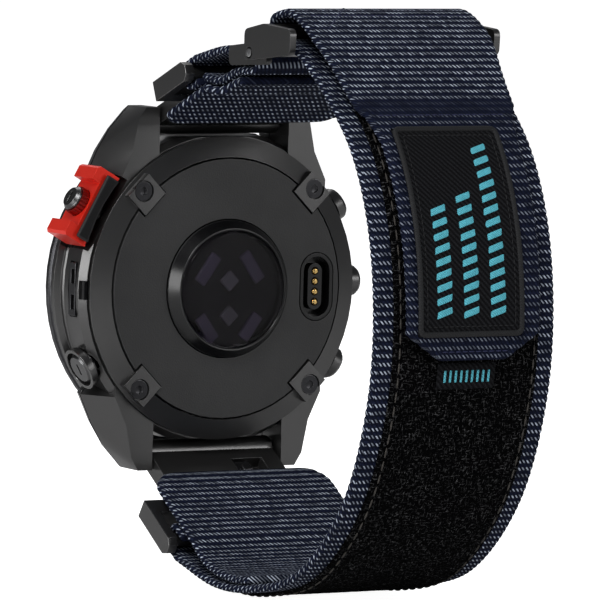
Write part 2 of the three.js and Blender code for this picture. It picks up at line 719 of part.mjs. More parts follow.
// ---- long strap: from the bottom connector's bar round the wrist to the fold in the swing ring ----
const loopPoints = [onConnector(barReach + 2, wrapInner, -1), underBottom(-21.2, 15.4),
  underBottom(-31.0, 15.0), underBottom(-44.0, 11.5), underBottom(-55.5, 1.0), [-61.4, -12.0],
  [-62.8, 0], [-60.9, 13.3], overTop(-55.7, -0.6), overTop(-46.0, 8.4), overTop(-40.0, 12.1),
  [foldCentre[0], foldCentre[1] - foldRadius - webbing]];
const loopLine = curveLine(loopPoints, 72);
const longWrap = arcLine(onConnector(barReach, 0, -1), wrapInner, 90 + bottomAngle, bottomAngle - 90, 10);
const longStations = stations([onConnector(barReach + 2, -wrapInner, -1), ...longWrap, ...loopLine]);
add('main_strap', band(longStations, 0, webbing, evenHalf(strapHalf)), navyWebbing);

const loopStations = stations(loopLine);
const padLow = webbing + layerGap;
const padHigh = padLow + padThickness;
const padLine = loopStations.filter((s) => s.y < -18 && (s.z < 0 || s.y < -48));
add('loop_pad', band(padLine, padLow, padHigh, evenHalf(padHalf)), blackPile);

const bottomFlap = [...linerReach, strapLeave].map((reach) => onConnector(reach, -wrapInner, -1));
const bottomLiner = stations([...bottomFlap, ...curveLine([underBottom(-16.2, 14.4),
  underBottom(-20.0, 16.0), underBottom(-26.0, 16.8), underBottom(-31.0, 16.5)], 8)]);
add('main_strap_liner', band(bottomLiner, -linerHigh, -linerLow, linerHalf), navyWebbing);

// ---- tail: folded back over the strap, held by its hook pad ----
const hookGap = 0.15;
const tailLow = padHigh + hookGap + padThickness + layerGap;
const tipZ = -4.3;
const meetZ = pinZ + 4.4;
const tailAlong = shifted(loopStations.filter((s) => s.y < -48 && s.z > tipZ && s.z < meetZ), tailLow);
const tailOver = curveLine([overTop(-46.6, 12.6), overTop(-42.0, 16.0), overTop(-38.2, 17.4),
  [foldCentre[0], foldCentre[1] + foldRadius]], 9);
const tailTurn = arcLine(foldCentre, foldRadius, 90, -25, 10);
const tailStations = stations([...tailAlong, ...tailOver, ...tailTurn.slice(1)]);
const tailWidth = steppedHalf([[0, tailHalf - 5.4], [3.6, tailHalf], [31, tailHalf + 0.3],
  [35.5, tailHalf + 1.2], [37, tailHalf + 2.2], [44, strapHalf - 1], [50, strapHalf]]);
add('tail_strap', band(tailStations, 0, webbing, tailWidth), navyWebbing);

function tailPart(fromReach, toReach) {
  return tailStations.filter((s) => s.reach > fromReach && s.reach < toReach);
}

add('hook_pad', band(tailPart(3, 29), -layerGap - padThickness, -layerGap, evenHalf(tailHalf - 1.4)),
  blackPile);
const patchLow = webbing + layerGap;
const patchBand = band(tailPart(3.2, 33), patchLow, patchLow + 0.6, evenHalf(patchHalf));
add('patch', patchBand.translate(patchOffset, 0, 0), patchFabric);
const tagLine = loopStations.filter((s) => s.y < -55 && s.z < tipZ - 0.4 && s.z > tipZ - 4.2);
add('side_tag', band(tagLine, padHigh + layerGap, padHigh + layerGap + 0.3, evenHalf(4.8)), patchFabric);

export default watch;
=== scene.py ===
"""A round sports watch on a wide nylon hook-and-loop strap. Metres; +Y runs from the wrist to the screen."""
import json
import math

import bmesh
import bpy
import numpy as np
from mathutils import Matrix, Vector

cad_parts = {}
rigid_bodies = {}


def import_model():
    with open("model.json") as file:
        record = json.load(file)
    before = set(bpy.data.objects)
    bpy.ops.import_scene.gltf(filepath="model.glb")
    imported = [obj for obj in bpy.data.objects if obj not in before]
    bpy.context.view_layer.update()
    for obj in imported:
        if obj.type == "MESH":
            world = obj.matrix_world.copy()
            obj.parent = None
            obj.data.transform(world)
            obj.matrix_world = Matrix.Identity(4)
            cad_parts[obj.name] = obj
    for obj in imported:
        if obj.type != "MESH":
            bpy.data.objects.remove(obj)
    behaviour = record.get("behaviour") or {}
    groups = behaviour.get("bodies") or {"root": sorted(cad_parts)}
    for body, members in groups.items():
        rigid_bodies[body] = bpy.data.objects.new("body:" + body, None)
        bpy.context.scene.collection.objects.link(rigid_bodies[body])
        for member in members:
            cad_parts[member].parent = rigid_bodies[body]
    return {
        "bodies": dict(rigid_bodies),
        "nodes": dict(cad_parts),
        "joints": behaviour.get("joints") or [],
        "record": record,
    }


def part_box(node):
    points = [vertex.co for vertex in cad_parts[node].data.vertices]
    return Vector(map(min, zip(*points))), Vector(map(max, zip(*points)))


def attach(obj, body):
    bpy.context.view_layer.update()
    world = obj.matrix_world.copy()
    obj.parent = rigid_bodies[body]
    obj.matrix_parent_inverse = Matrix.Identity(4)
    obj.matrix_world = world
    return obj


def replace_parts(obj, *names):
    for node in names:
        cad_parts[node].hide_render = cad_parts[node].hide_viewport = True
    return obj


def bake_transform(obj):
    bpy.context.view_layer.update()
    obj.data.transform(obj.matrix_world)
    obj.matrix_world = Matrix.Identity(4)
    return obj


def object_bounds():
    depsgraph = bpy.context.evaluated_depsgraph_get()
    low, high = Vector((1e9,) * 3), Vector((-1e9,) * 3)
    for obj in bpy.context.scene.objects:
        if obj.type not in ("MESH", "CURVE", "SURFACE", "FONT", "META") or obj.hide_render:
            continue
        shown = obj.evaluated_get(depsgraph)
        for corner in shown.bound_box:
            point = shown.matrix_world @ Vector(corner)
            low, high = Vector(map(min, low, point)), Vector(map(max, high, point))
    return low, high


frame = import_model()
cad_box = [list(corner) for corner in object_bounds()]

# ---- studio: floor, world, lights and camera ----
# The watch stands on a wide sheet of white paper in a plain white world. A large soft box lights it from the
# upper left, two weaker ones from the left and the right, and a last one from behind.
low, high = Vector(cad_box[0]), Vector(cad_box[1])
centre = (low + high) / 2
scene = bpy.context.scene
scene.view_settings.view_transform = "Standard"


def plain_material(name, colour, roughness):
    """One even finish, for what isn't part of the watch."""
    material = bpy.data.materials.new(name)
    material.use_nodes = True
    shader = material.node_tree.nodes["Principled BSDF"]
    shader.inputs["Base Color"].default_value = (*colour, 1)
    shader.inputs["Roughness"].default_value = roughness
    return material


floor_z, floor_reach = low.z - 0.0004, 12.0
floor_mesh = bpy.data.meshes.new("floor")
corners = [(x * floor_reach, y * floor_reach, floor_z) for x, y in ((-1, -1), (1, -1), (1, 1), (-1, 1))]
floor_mesh.from_pydata(corners, [], [(0, 1, 2, 3)])
floor = bpy.data.objects.new("floor", floor_mesh)
paper = plain_material("paper_white", (0.86, 0.86, 0.86), 0.7)
glow = paper.node_tree.nodes["Principled BSDF"]
glow.inputs["Emission Color"].default_value = (1, 1, 1, 1)
seen_by = paper.node_tree.nodes.new("ShaderNodeLightPath")
scaled = paper.node_tree.nodes.new("ShaderNodeMath")
scaled.operation = "MULTIPLY"
scaled.inputs[1].default_value = 0.97
paper.node_tree.links.new(seen_by.outputs["Is Camera Ray"], scaled.inputs[0])
paper.node_tree.links.new(scaled.outputs[0], glow.inputs["Emission Strength"])
floor_mesh.materials.append(paper)
scene.collection.objects.link(floor)

world = bpy.data.worlds.new("studio")
scene.world = world
world.use_nodes = True
sky = world.node_tree
sky.nodes.clear()
seen = sky.nodes.new("ShaderNodeBackground")
seen.inputs["Color"].default_value = (1, 1, 1, 1)
lit = sky.nodes.new("ShaderNodeBackground")
lit.inputs["Color"].default_value = (0.94, 0.96, 1, 1)
lit.inputs["Strength"].default_value = 0.12
ray = sky.nodes.new("ShaderNodeLightPath")
either = sky.nodes.new("ShaderNodeMixShader")
out = sky.nodes.new("ShaderNodeOutputWorld")
sky.links.new(ray.outputs["Is Camera Ray"], either.inputs["Fac"])
sky.links.new(lit.outputs["Background"], either.inputs[1])
sky.links.new(seen.outputs["Background"], either.inputs[2])
sky.links.new(either.outputs["Shader"], out.inputs["Surface"])


def area_light(name, place, size, watts):
    """A square soft box that faces the middle of the watch."""
    light = bpy.data.lights.new(name, "AREA")
    light.size = size
    light.energy = watts
    lamp = bpy.data.objects.new(name, light)
    scene.collection.objects.link(lamp)
    lamp.location = centre + Vector(place)
    lamp.rotation_mode = "QUATERNION"
    lamp.rotation_quaternion = (-Vector(place)).to_track_quat("-Z", "Y")


area_light("key", (-0.42, -0.42, 0.62), 0.35, 4.2)
area_light("side_strip", (-0.8, -0.1, 0.1), 0.4, 3.0)
area_light("fill", (0.5, -0.75, 0.25), 0.35, 1.6)
area_light("top_back", (0.1, 0.45, 0.5), 0.4, 1.2)

# The long lens stands to the left of the wrist side and a little above it, turned slightly clockwise.
azimuth, elevation, roll = math.radians(-31.1), math.radians(4.6), math.radians(1.42)
distance = 1.032
aim = Vector((-0.0018, -0.0219, 0.0003))
level = math.cos(elevation)
back = Vector((math.sin(azimuth) * level, -math.cos(azimuth) * level, math.sin(elevation)))
camera_data = bpy.data.cameras.new("camera")
camera_data.sensor_width = 36
camera_data.lens = 428
camera_data.clip_start = 0.01
camera = bpy.data.objects.new("camera", camera_data)
scene.collection.objects.link(camera)
camera.location = aim + back * distance
camera.rotation_mode = "QUATERNION"
camera.rotation_quaternion = (-back).to_track_quat("-Z", "Y") @ Matrix.Rotation(roll, 3, "Z").to_quaternion()
scene.camera = camera

# ---- metal case, shell, bezel and back ring ----
# The case is turned and milled from steel and blasted, then coated a satin dark grey. Every edge is broken,
# and the coating has rubbed a little brighter there. The bezel and the speaker's grille have a darker coat.
# Four screws from behind clamp the whole head together.


def eased(name, node, body, width=0.00015, steps=2, sharp=28, smooth=35):
    """A CAD node's own shape, welded, its sharp edges rounded over; what was rounded is marked in "edge"."""
    work = bmesh.new()
    work.from_mesh(frame["nodes"][node].data)
    bmesh.ops.remove_doubles(work, verts=work.verts, dist=2e-6)
    bmesh.ops.dissolve_limit(work, angle_limit=math.radians(1.2), verts=work.verts, edges=work.edges)
    bmesh.ops.recalc_face_normals(work, faces=work.faces)
    edges = [e for e in work.edges if e.is_manifold and e.calc_face_angle() > math.radians(sharp)]
    worn = bmesh.ops.bevel(work, geom=edges, offset=width, segments=steps, profile=0.6, affect="EDGES",
                           clamp_overlap=True)["faces"]
    layer = work.loops.layers.float.new("edge")
    for corner in (corner for face in worn for corner in face.loops):
        corner[layer] = 1.0
    mesh = bpy.data.meshes.new(name)
    work.to_mesh(mesh)
    work.free()
    mesh.polygons.foreach_set("use_smooth", np.ones(len(mesh.polygons), bool))
    mesh.set_sharp_from_angle(angle=math.radians(smooth))
    piece = bpy.data.objects.new(name, mesh)
    scene.collection.objects.link(piece)
    weighted = piece.modifiers.new("even shading", "WEIGHTED_NORMAL")
    weighted.keep_sharp = True
    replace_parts(piece, node)
    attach(piece, body)
    return piece


def shader_group(name, inputs, outputs=("Color", "Roughness", "Height")):
    """An empty node group with named sockets; gives its tree and its input and output nodes."""
    tree = bpy.data.node_groups.new(name, "ShaderNodeTree")
    kinds = {"value": "NodeSocketFloat", "colour": "NodeSocketColor"}
    for label, kind, default in inputs:
        socket = tree.interface.new_socket(label, in_out="INPUT", socket_type=kinds[kind])
        socket.default_value = default
    for label in outputs:
        kind = kinds["colour" if label == "Color" else "value"]
        tree.interface.new_socket(label, in_out="OUTPUT", socket_type=kind)
    return tree, tree.nodes.new("NodeGroupInput"), tree.nodes.new("NodeGroupOutput")


def put_out(tree, result, **values):
    """Wires the last values of a group to its outputs, by name."""
    for label, value in values.items():
        tree.links.new(value, result.inputs[label])


def joined(tree, kind, settings, **wires):
    """Adds a node, sets its properties, and wires or sets its inputs by name or number."""
    node = tree.nodes.new(kind)
    for key, value in settings.items():
        setattr(node, key, value)
    for key, value in wires.items():
        socket = node.inputs[int(key[1:])] if key[1:].isdigit() else node.inputs[key.replace("_", " ")]
        if isinstance(value, bpy.types.NodeSocket):
            tree.links.new(value, socket)
        else:
            socket.default_value = value
    return node


def math_node(tree, operation, a, b=0.0, c=0.0, clamp=False):
    """One Math node's result."""
    settings = {"operation": operation, "use_clamp": clamp}
    return joined(tree, "ShaderNodeMath", settings, i0=a, i1=b, i2=c).outputs[0]


def noise(tree, place, scale, detail, roughness=0.5):
    """A cloud noise over a place, from 0 to 1."""
    return joined(tree, "ShaderNodeTexNoise", {}, Vector=place, Scale=scale, Detail=detail,
                  Roughness=roughness).outputs["Fac"]


def weave_place(tree):
    """The map "weave", in mm."""
    return joined(tree, "ShaderNodeUVMap", {"uv_map": "weave"}).outputs["UV"]


def object_place(tree):
    """Object coordinates, in metres."""
    return tree.nodes.new("ShaderNodeTexCoord").outputs["Object"]


def blend_colour(tree, factor, a, b):
    """Two colours mixed by a factor."""
    node = joined(tree, "ShaderNodeMix", {"data_type": "RGBA"}, i0=factor, i6=a, i7=b)
    return node.outputs[2]


def coated_metal_group():
    """Coating over metal: cloudy tone, fine blasted grain, and a paler, smoother line at worn edges."""
    tree, given, result = shader_group(
        "coated_metal",
        [("Coating", "colour", (0.1, 0.1, 0.1, 1)), ("Worn", "colour", (0.3, 0.3, 0.3, 1)),
         ("Roughness", "value", 0.4), ("Grain", "value", 0.3), ("Wear", "value", 0.5)])
    place = object_place(tree)
    cloud = noise(tree, place, 160.0, 3.0)
    grain = noise(tree, place, 9000.0, 1.0)
    scuff = noise(tree, place, 900.0, 4.0)
    edge = joined(tree, "ShaderNodeAttribute", {"attribute_name": "edge"}).outputs["Fac"]
    rubbed = math_node(tree, "MULTIPLY", edge, math_node(tree, "MULTIPLY_ADD", scuff, 1.6, -0.25, clamp=True))
    rubbed = math_node(tree, "MULTIPLY", rubbed, given.outputs["Wear"], clamp=True)
    dull = blend_colour(tree, math_node(tree, "MULTIPLY_ADD", cloud, 0.12, -0.04, clamp=True),
                        given.outputs["Coating"], (0.01, 0.01, 0.011, 1))
    rough = math_node(tree, "MULTIPLY_ADD", cloud, 0.05, -0.025)
    rough = math_node(tree, "ADD", rough, given.outputs["Roughness"])
    rough = math_node(tree, "MULTIPLY_ADD", rubbed, -0.12, rough, clamp=True)
    put_out(tree, result, Color=blend_colour(tree, rubbed, dull, given.outputs["Worn"]), Roughness=rough,
            Height=math_node(tree, "MULTIPLY", grain, given.outputs["Grain"]))
    return tree


coated_metal = coated_metal_group()


def finish(name, group, values, metallic=0.0, roughness=None, bump=0.00003, transmission=0.0, ior=1.45,
           specular=0.5):
    """A Principled material fed by a surface group; a roughness that never varies is set on the shader."""
    material = bpy.data.materials.new(name)
    material.use_nodes = True
    tree = material.node_tree
    shader = tree.nodes["Principled BSDF"]
    effect = tree.nodes.new("ShaderNodeGroup")
    effect.node_tree = group
    for label, value in values.items():
        effect.inputs[label].default_value = value
    tree.links.new(effect.outputs["Color"], shader.inputs["Base Color"])
    if roughness is None:
        tree.links.new(effect.outputs["Roughness"], shader.inputs["Roughness"])
    else:
        shader.inputs["Roughness"].default_value = roughness
    if "Height" in effect.outputs:
        lift = joined(tree, "ShaderNodeBump", {}, Height=effect.outputs["Height"], Distance=bump,
                      Strength=1.0)
        tree.links.new(lift.outputs["Normal"], shader.inputs["Normal"])
    shader.inputs["Metallic"].default_value = metallic
    shader.inputs["Transmission Weight"].default_value = transmission
    shader.inputs["IOR"].default_value = ior
    shader.inputs["Specular IOR Level"].default_value = specular
    return material


def dress(piece, material):
    """Gives a piece one material."""
    piece.data.materials.clear()
    piece.data.materials.append(material)
    return piece


gunmetal = finish("gunmetal_coating", coated_metal,
                  {"Coating": (0.1, 0.099, 0.099, 1), "Worn": (0.34, 0.34, 0.34, 1), "Roughness": 0.3,
                   "Grain": 0.35, "Wear": 0.4}, metallic=0.9)
dark_coating = finish("dark_coating", coated_metal,
                      {"Coating": (0.035, 0.035, 0.038, 1), "Worn": (0.2, 0.2, 0.21, 1), "Roughness": 0.3,
                       "Grain": 0.3, "Wear": 0.45}, metallic=0.85)
for node in ("mid_case", "front_shell", "back_cover", "lower_collar"):
    dress(eased(node + "_metal", node, "watch_head"), gunmetal)
dress(eased("bezel_metal", "bezel", "watch_head", smooth=50), dark_coating)
dress(eased("speaker_grille_metal", "speaker_grille", "watch_head", width=0.00008),
      dark_coating)

# ---- glass, display and the parts sealed inside the case ----
# Flat front glass, cemented into the bezel over a dark round display. Behind it a foil pouch cell, a green
# laminate board and a small steel motor fill the case, which a rubber ring seals at the back. The strap hangs
# on two ground steel pins through the lugs.
front_glass = finish("front_glass_clear", coated_metal,
                     {"Coating": (0.32, 0.32, 0.33, 1), "Worn": (0.32, 0.32, 0.33, 1), "Roughness": 0.03,
                      "Grain": 0.0, "Wear": 0.0}, transmission=1.0, ior=1.6, bump=0.0)
dress(eased("front_glass_disc", "front_glass", "watch_head"), front_glass)


def dial_group():
    """A dark dial with sixty plain ticks round its edge, twelve of them longer, and a faint ring."""
    tree, given, result = shader_group("plain_dial", [("Ink", "colour", (0.5, 0.55, 0.6, 1))], ["Color"])
    place = object_place(tree)
    axes = joined(tree, "ShaderNodeSeparateXYZ", {}, Vector=place).outputs
    radius = math_node(tree, "SQRT", math_node(tree, "ADD", math_node(tree, "POWER", axes["X"], 2.0),
                                               math_node(tree, "POWER", axes["Z"], 2.0)))
    angle = math_node(tree, "ARCTAN2", axes["Z"], axes["X"])

    def ticks(count, half_angle, inner, outer):
        """Marks where the angle is close to a whole share of a turn, between two radii."""
        share = math_node(tree, "MULTIPLY", angle, count / (2 * math.pi))
        off = math_node(tree, "ABSOLUTE", math_node(tree, "SUBTRACT", share, math_node(tree, "ROUND", share)))
        on = math_node(tree, "LESS_THAN", off, half_angle)
        ring = math_node(tree, "COMPARE", radius, (inner + outer) / 2, (outer - inner) / 2)
        return math_node(tree, "MULTIPLY", on, ring)

    marks = math_node(tree, "MAXIMUM", ticks(60, 0.06, 0.0152, 0.0160), ticks(12, 0.035, 0.0140, 0.0160))
    put_out(tree, result, Color=blend_colour(tree, marks, (0.006, 0.007, 0.009, 1), given.outputs["Ink"]))
    return tree


dress(eased("display_panel", "display_module", "watch_head"),
      finish("display_dark", dial_group(), {"Ink": (0.5, 0.55, 0.6, 1)}, roughness=0.25))


def moulded_group():
    """Moulded or printed matter: one tone with slight clouding and a fine spark-eroded texture."""
    tree, given, result = shader_group(
        "moulded",
        [("Tone", "colour", (0.1, 0.1, 0.1, 1)), ("Roughness", "value", 0.6), ("Texture", "value", 0.5)])
    place = object_place(tree)
    cloud = noise(tree, place, 220.0, 4.0)
    pits = joined(tree, "ShaderNodeTexVoronoi", {}, Vector=place, Scale=4200.0).outputs["Distance"]
    darker = blend_colour(tree, math_node(tree, "MULTIPLY_ADD", cloud, 0.5, -0.12, clamp=True),
                          given.outputs["Tone"], (0.004, 0.004, 0.005, 1))
    edge = joined(tree, "ShaderNodeAttribute", {"attribute_name": "edge"}).outputs["Fac"]
    rough = math_node(tree, "MULTIPLY_ADD", cloud, 0.14, -0.07)
    put_out(tree, result,
            Color=blend_colour(tree, math_node(tree, "MULTIPLY", edge, 0.04), darker, (0.4, 0.4, 0.4, 1)),
            Roughness=math_node(tree, "ADD", rough, given.outputs["Roughness"], clamp=True),
            Height=math_node(tree, "MULTIPLY", pits, given.outputs["Texture"]))
    return tree


moulded = moulded_group()
board_green = finish("board_green", moulded,
                     {"Tone": (0.012, 0.07, 0.035, 1), "Roughness": 0.4, "Texture": 0.1})
for node in ("main_board", "sensor_board"):
    dress(eased(node + "_laminate", node, "watch_head"), board_green)
dress(eased("battery_pouch", "battery", "watch_head", width=0.0008, steps=3),
      finish("pouch_foil", coated_metal, {"Coating": (0.4, 0.4, 0.41, 1), "Worn": (0.6, 0.6, 0.6, 1),
                                         "Roughness": 0.45, "Grain": 0.2, "Wear": 0.3}, metallic=0.6))
dress(eased("back_gasket_ring", "back_gasket", "watch_head"),
      finish("seal_rubber", moulded, {"Tone": (0.012, 0.012, 0.012, 1), "Roughness": 0.8, "Texture": 0.3}))
brushed_steel = finish("brushed_steel", coated_metal,
                       {"Coating": (0.32, 0.32, 0.33, 1), "Worn": (0.6, 0.6, 0.6, 1), "Roughness": 0.32,
                        "Grain": 0.6, "Wear": 0.6}, metallic=1.0)
for node in ("vibration_motor", "lug_pin_top", "lug_pin_bottom"):
    dress(eased(node + "_steel", node, "watch_head", width=0.00012), brushed_steel)

# ---- back plate, sensor and charging port ----
# A matte moulded disc is pressed into the metal ring behind the head. In its middle a gloss ring holds the
# dark optical window over six small filters, and a sealed port beside it has four gold-plated contacts. Two
# black moulded rails are seated on the case, one behind and one in front of the start button's guard.
dress(eased("back_plate_disc", "back_plate", "watch_head", width=0.0001),
      finish("plate_matte", moulded, {"Tone": (0.022, 0.022, 0.0225, 1), "Roughness": 0.45, "Texture": 0.4}))
gloss_black = finish("gloss_black", moulded,
                     {"Tone": (0.004, 0.004, 0.0045, 1), "Roughness": 0.22, "Texture": 0.05})
for node in ("sensor_ring", "charge_port"):
    dress(eased(node + "_gloss", node, "watch_head", width=0.00012), gloss_black)
rail_black = finish("rail_black", moulded,
                    {"Tone": (0.006, 0.006, 0.0065, 1), "Roughness": 0.45, "Texture": 0.2}, specular=0.25)
for node in ("guard_rail_back", "guard_rail_front"):
    dress(eased(node + "_moulding", node, "watch_head", width=0.0003, steps=3), rail_black)
dress(eased("sensor_lens_window", "sensor_lens", "watch_head", width=0.00015),
      finish("sensor_tint", coated_metal, {"Coating": (0.42, 0.4, 0.45, 1), "Worn": (0.5, 0.5, 0.5, 1),
                                          "Roughness": 0.05, "Grain": 0.0, "Wear": 0.0},
             transmission=1.0, ior=1.2, bump=0.0))
for number in range(1, 7):
    tone = (0.26, 0.26, 0.28, 1) if number < 3 else (0.16, 0.14, 0.22, 1)
    node = f"optic_window_{number}"
    dress(eased(node + "_filter", node, "watch_head", width=0.00025),
          finish(f"optic_filter_{number}", moulded, {"Tone": tone, "Roughness": 0.5, "Texture": 0.0}))


def turned_piece(name, profile, body, turns=96):
    """A profile of radius and height pairs carried round the Y axis, closed on itself or at the axis."""
    rings = np.array(profile, float)
    angle = np.linspace(0, 2 * np.pi, turns, endpoint=False)
    radius, height = rings[:, 0][:, None], rings[:, 1][:, None]
    points = np.stack([radius * np.cos(angle), height + 0 * angle, radius * np.sin(angle)], -1).reshape(-1, 3)
    row, column = np.meshgrid(np.arange(len(rings) - 1), np.arange(turns), indexing="ij")
    following = (column + 1) % turns
    faces = np.stack([row * turns + column, row * turns + following, (row + 1) * turns + following,
                      (row + 1) * turns + column], -1).reshape(-1, 4)
    return placed(name, mesh_of(name, points, faces), body)


def mesh_of(name, points, faces):
    """A mesh from arrays of points in metres and of faces."""
    mesh = bpy.data.meshes.new(name)
    mesh.from_pydata(points.tolist(), [], faces.tolist())
    return mesh


def placed(name, mesh, body):
    """Welds a new mesh, turns its faces outwards, shades it smooth and lets it ride on its body."""
    work = bmesh.new()
    work.from_mesh(mesh)
    bmesh.ops.remove_doubles(work, verts=work.verts, dist=1e-7)
    bmesh.ops.recalc_face_normals(work, faces=work.faces)
    work.to_mesh(mesh)
    work.free()
    mesh.polygons.foreach_set("use_smooth", np.ones(len(mesh.polygons), bool))
    mesh.set_sharp_from_angle(angle=math.radians(40))
    piece = bpy.data.objects.new(name, mesh)
    scene.collection.objects.link(piece)
    if body:
        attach(piece, body)
    return piece


board_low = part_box("sensor_board")[0].y
lens_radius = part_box("sensor_lens")[1].x
dress(turned_piece("light_baffle", [(0.0, board_low - 0.00025), (lens_radius - 0.0002, board_low - 0.00025),
                                    (lens_radius - 0.0002, board_low - 0.0001), (0.0, board_low - 0.0001)],
                   "watch_head"),
      finish("baffle_black", moulded, {"Tone": (0.002, 0.002, 0.0025, 1), "Roughness": 0.7, "Texture": 0.0}))
gold = finish("gold_plate", coated_metal, {"Coating": (0.68, 0.45, 0.16, 1), "Worn": (0.9, 0.7, 0.4, 1),
                                          "Roughness": 0.22, "Grain": 0.1, "Wear": 0.3}, metallic=1.0)
for stem, ending, slot, coat in (("contact_pin_", "_gold", "contacts", gold),
                                 ("rear_screw_", "_head", "dark_metal", dark_coating)):
    for node in (stem + str(number) for number in range(1, 5)):
        dress(eased(node + ending, node, "watch_head", width=0.00006), coat)


def block(name, corner, opposite, body):
    """A plain box between two corners given in mm."""
    a, b = np.array(corner, float), np.array(opposite, float)
    pick = np.array([[i, j, k] for i in (0, 1) for j in (0, 1) for k in (0, 1)])
    mesh = bpy.data.meshes.new(name)
    sides = [(0, 1, 3, 2), (4, 6, 7, 5), (0, 4, 5, 1), (2, 3, 7, 6), (0, 2, 6, 4), (1, 5, 7, 3)]
    mesh.from_pydata((np.where(pick, b, a) * 0.001).tolist(), [], sides)
    return placed(name, mesh, body)


plug_low, plug_high = (-23.1, 4.05, -1.35), (-22.32, 5.05, 1.35)
dress(block("air_port_plug", plug_low, plug_high, "watch_head"), gloss_black)

# ---- buttons and the red guard ----
# Turned steel push buttons slide in bores in the case: three coated caps on the right, two bare ones on the
# left. The start button is knurled and slotted, wears a deep red sleeve, and stands in a red anodised guard.
red_anodised = finish("red_anodised", coated_metal,
                      {"Coating": (0.85, 0.03, 0.015, 1), "Worn": (0.95, 0.2, 0.14, 1), "Roughness": 0.3,
                       "Grain": 0.3, "Wear": 0.3}, metallic=0.45)
dress(eased("start_guard_anodised", "start_guard", "watch_head", width=0.0002), red_anodised)
for node in ("upper_right", "middle_right", "lower_right"):
    dress(eased(node + "_cap", node + "_button", node + "_button", width=0.0003, steps=3),
          gunmetal)
cap_steel = finish("cap_steel", coated_metal, {"Coating": (0.1, 0.1, 0.102, 1), "Worn": (0.4, 0.4, 0.4, 1),
                                               "Roughness": 0.3, "Grain": 0.5, "Wear": 0.5}, metallic=1.0)
for node in ("start", "lower_left"):
    dress(eased(node + "_cap", node + "_button", node + "_button", width=0.00015), cap_steel)


def button_sleeve(name, degrees, axis_y, radius, low, high, teeth, body):
    """A knurled sleeve round a radial axis, in mm.

    Its radius swells by the absolute sine of the angle times half the number of teeth, to the power 0.6.
    """
    count = teeth * 8
    angle = np.linspace(0, 2 * np.pi, count, endpoint=False)
    swell = radius * (0.93 + 0.07 * np.abs(np.sin(angle * teeth / 2)) ** 0.6)
    inner = np.full(count, radius * 0.9)
    radii = np.stack([inner, swell - 0.08, swell, swell, swell - 0.08, inner])
    along = np.array([low, low, low + 0.15, high - 0.15, high, high])[:, None]
    out = np.array([math.cos(math.radians(degrees)), math.sin(math.radians(degrees))])
    side = np.array([-out[1], out[0]])
    across, rise = radii * np.cos(angle), radii * np.sin(angle)
    points = np.stack([out[0] * along + side[0] * across, axis_y + rise,
                       out[1] * along + side[1] * across], -1)
    i, k = np.meshgrid(np.arange(6), np.arange(count), indexing="ij")
    j, n = (k + 1) % count, (i + 1) % 6
    faces = np.stack([i * count + k, i * count + j, n * count + j, n * count + k], -1).reshape(-1, 4)
    return placed(name, mesh_of(name, points.reshape(-1, 3) * 0.001, faces), body)


deep_red = finish("deep_red", coated_metal, {"Coating": (0.22, 0.008, 0.006, 1), "Worn": (0.6, 0.08, 0.06, 1),
                                             "Roughness": 0.35, "Grain": 0.3, "Wear": 0.3}, metallic=0.7)
dress(button_sleeve("start_sleeve", 150.5, 7.0, 2.15, 24.2, 26.9, 20, "start_button"), deep_red)

# ---- strap hardware ----
# Stamped and coated steel: two quick-release connectors with a thumb latch each, and the hinge frame and
# swinging ring that the long strap's tail turns back through, on one bare steel pin.
for node, body in (("connector_top", "short_band"), ("connector_bottom", "bottom_link"),
                   ("hinge_frame", "short_band"), ("swing_ring", "buckle_ring")):
    dress(eased(node + "_metal", node, body, width=0.0005, steps=4), gunmetal)
dress(eased("ring_hinge_pin_steel", "ring_hinge_pin", "buckle_ring", width=0.00015), brushed_steel)
for node, body in (("release_latch_top", "top_latch"), ("release_latch_bottom", "bottom_latch")):
    dress(eased(node + "_thumb", node, body), dark_coating)

# ---- long strap ----
# Woven nylon webbing, 1.2 mm thick, doubled by a sewn-in liner where it turns round the bottom connector's
# bar. From there it goes round the wrist as one layer and up to the fold in the ring.


def smooth_line(points, per_span=24):
    """Centripetal Catmull-Rom line through Y-Z points in mm; both ends run straight on."""
    p = np.array(points, float)
    p = np.vstack([2 * p[0] - p[1], p, 2 * p[-1] - p[-2]])
    gaps = np.sqrt(np.linalg.norm(np.diff(p, axis=0), axis=1))
    a, b, c, d = p[:-3], p[1:-2], p[2:-1], p[3:]
    g0, g1, g2 = gaps[:-2, None], gaps[1:-1, None], gaps[2:, None]
    leave = ((b - a) / g0 - (c - a) / (g0 + g1) + (c - b) / g1) * g1
    arrive = ((c - b) / g1 - (d - b) / (g1 + g2) + (d - c) / g2) * g1
    t = np.linspace(0, 1, per_span, endpoint=False)[None, :, None]
    b, c, leave, arrive = b[:, None], c[:, None], leave[:, None], arrive[:, None]
    line = ((2 * t**3 - 3 * t**2 + 1) * b + (t**3 - 2 * t**2 + t) * leave + (3 * t**2 - 2 * t**3) * c
            + (t**3 - t**2) * arrive)
    return np.vstack([line.reshape(-1, 2), p[-2:-1]])


def arc_line(middle, radius, start, stop, count=28):
    """Points on a circle in the Y-Z plane, angles in degrees from +Y towards +Z."""
    angle = np.radians(np.linspace(start, stop, count))
    return np.stack([middle[0] + radius * np.cos(angle), middle[1] + radius * np.sin(angle)], -1)


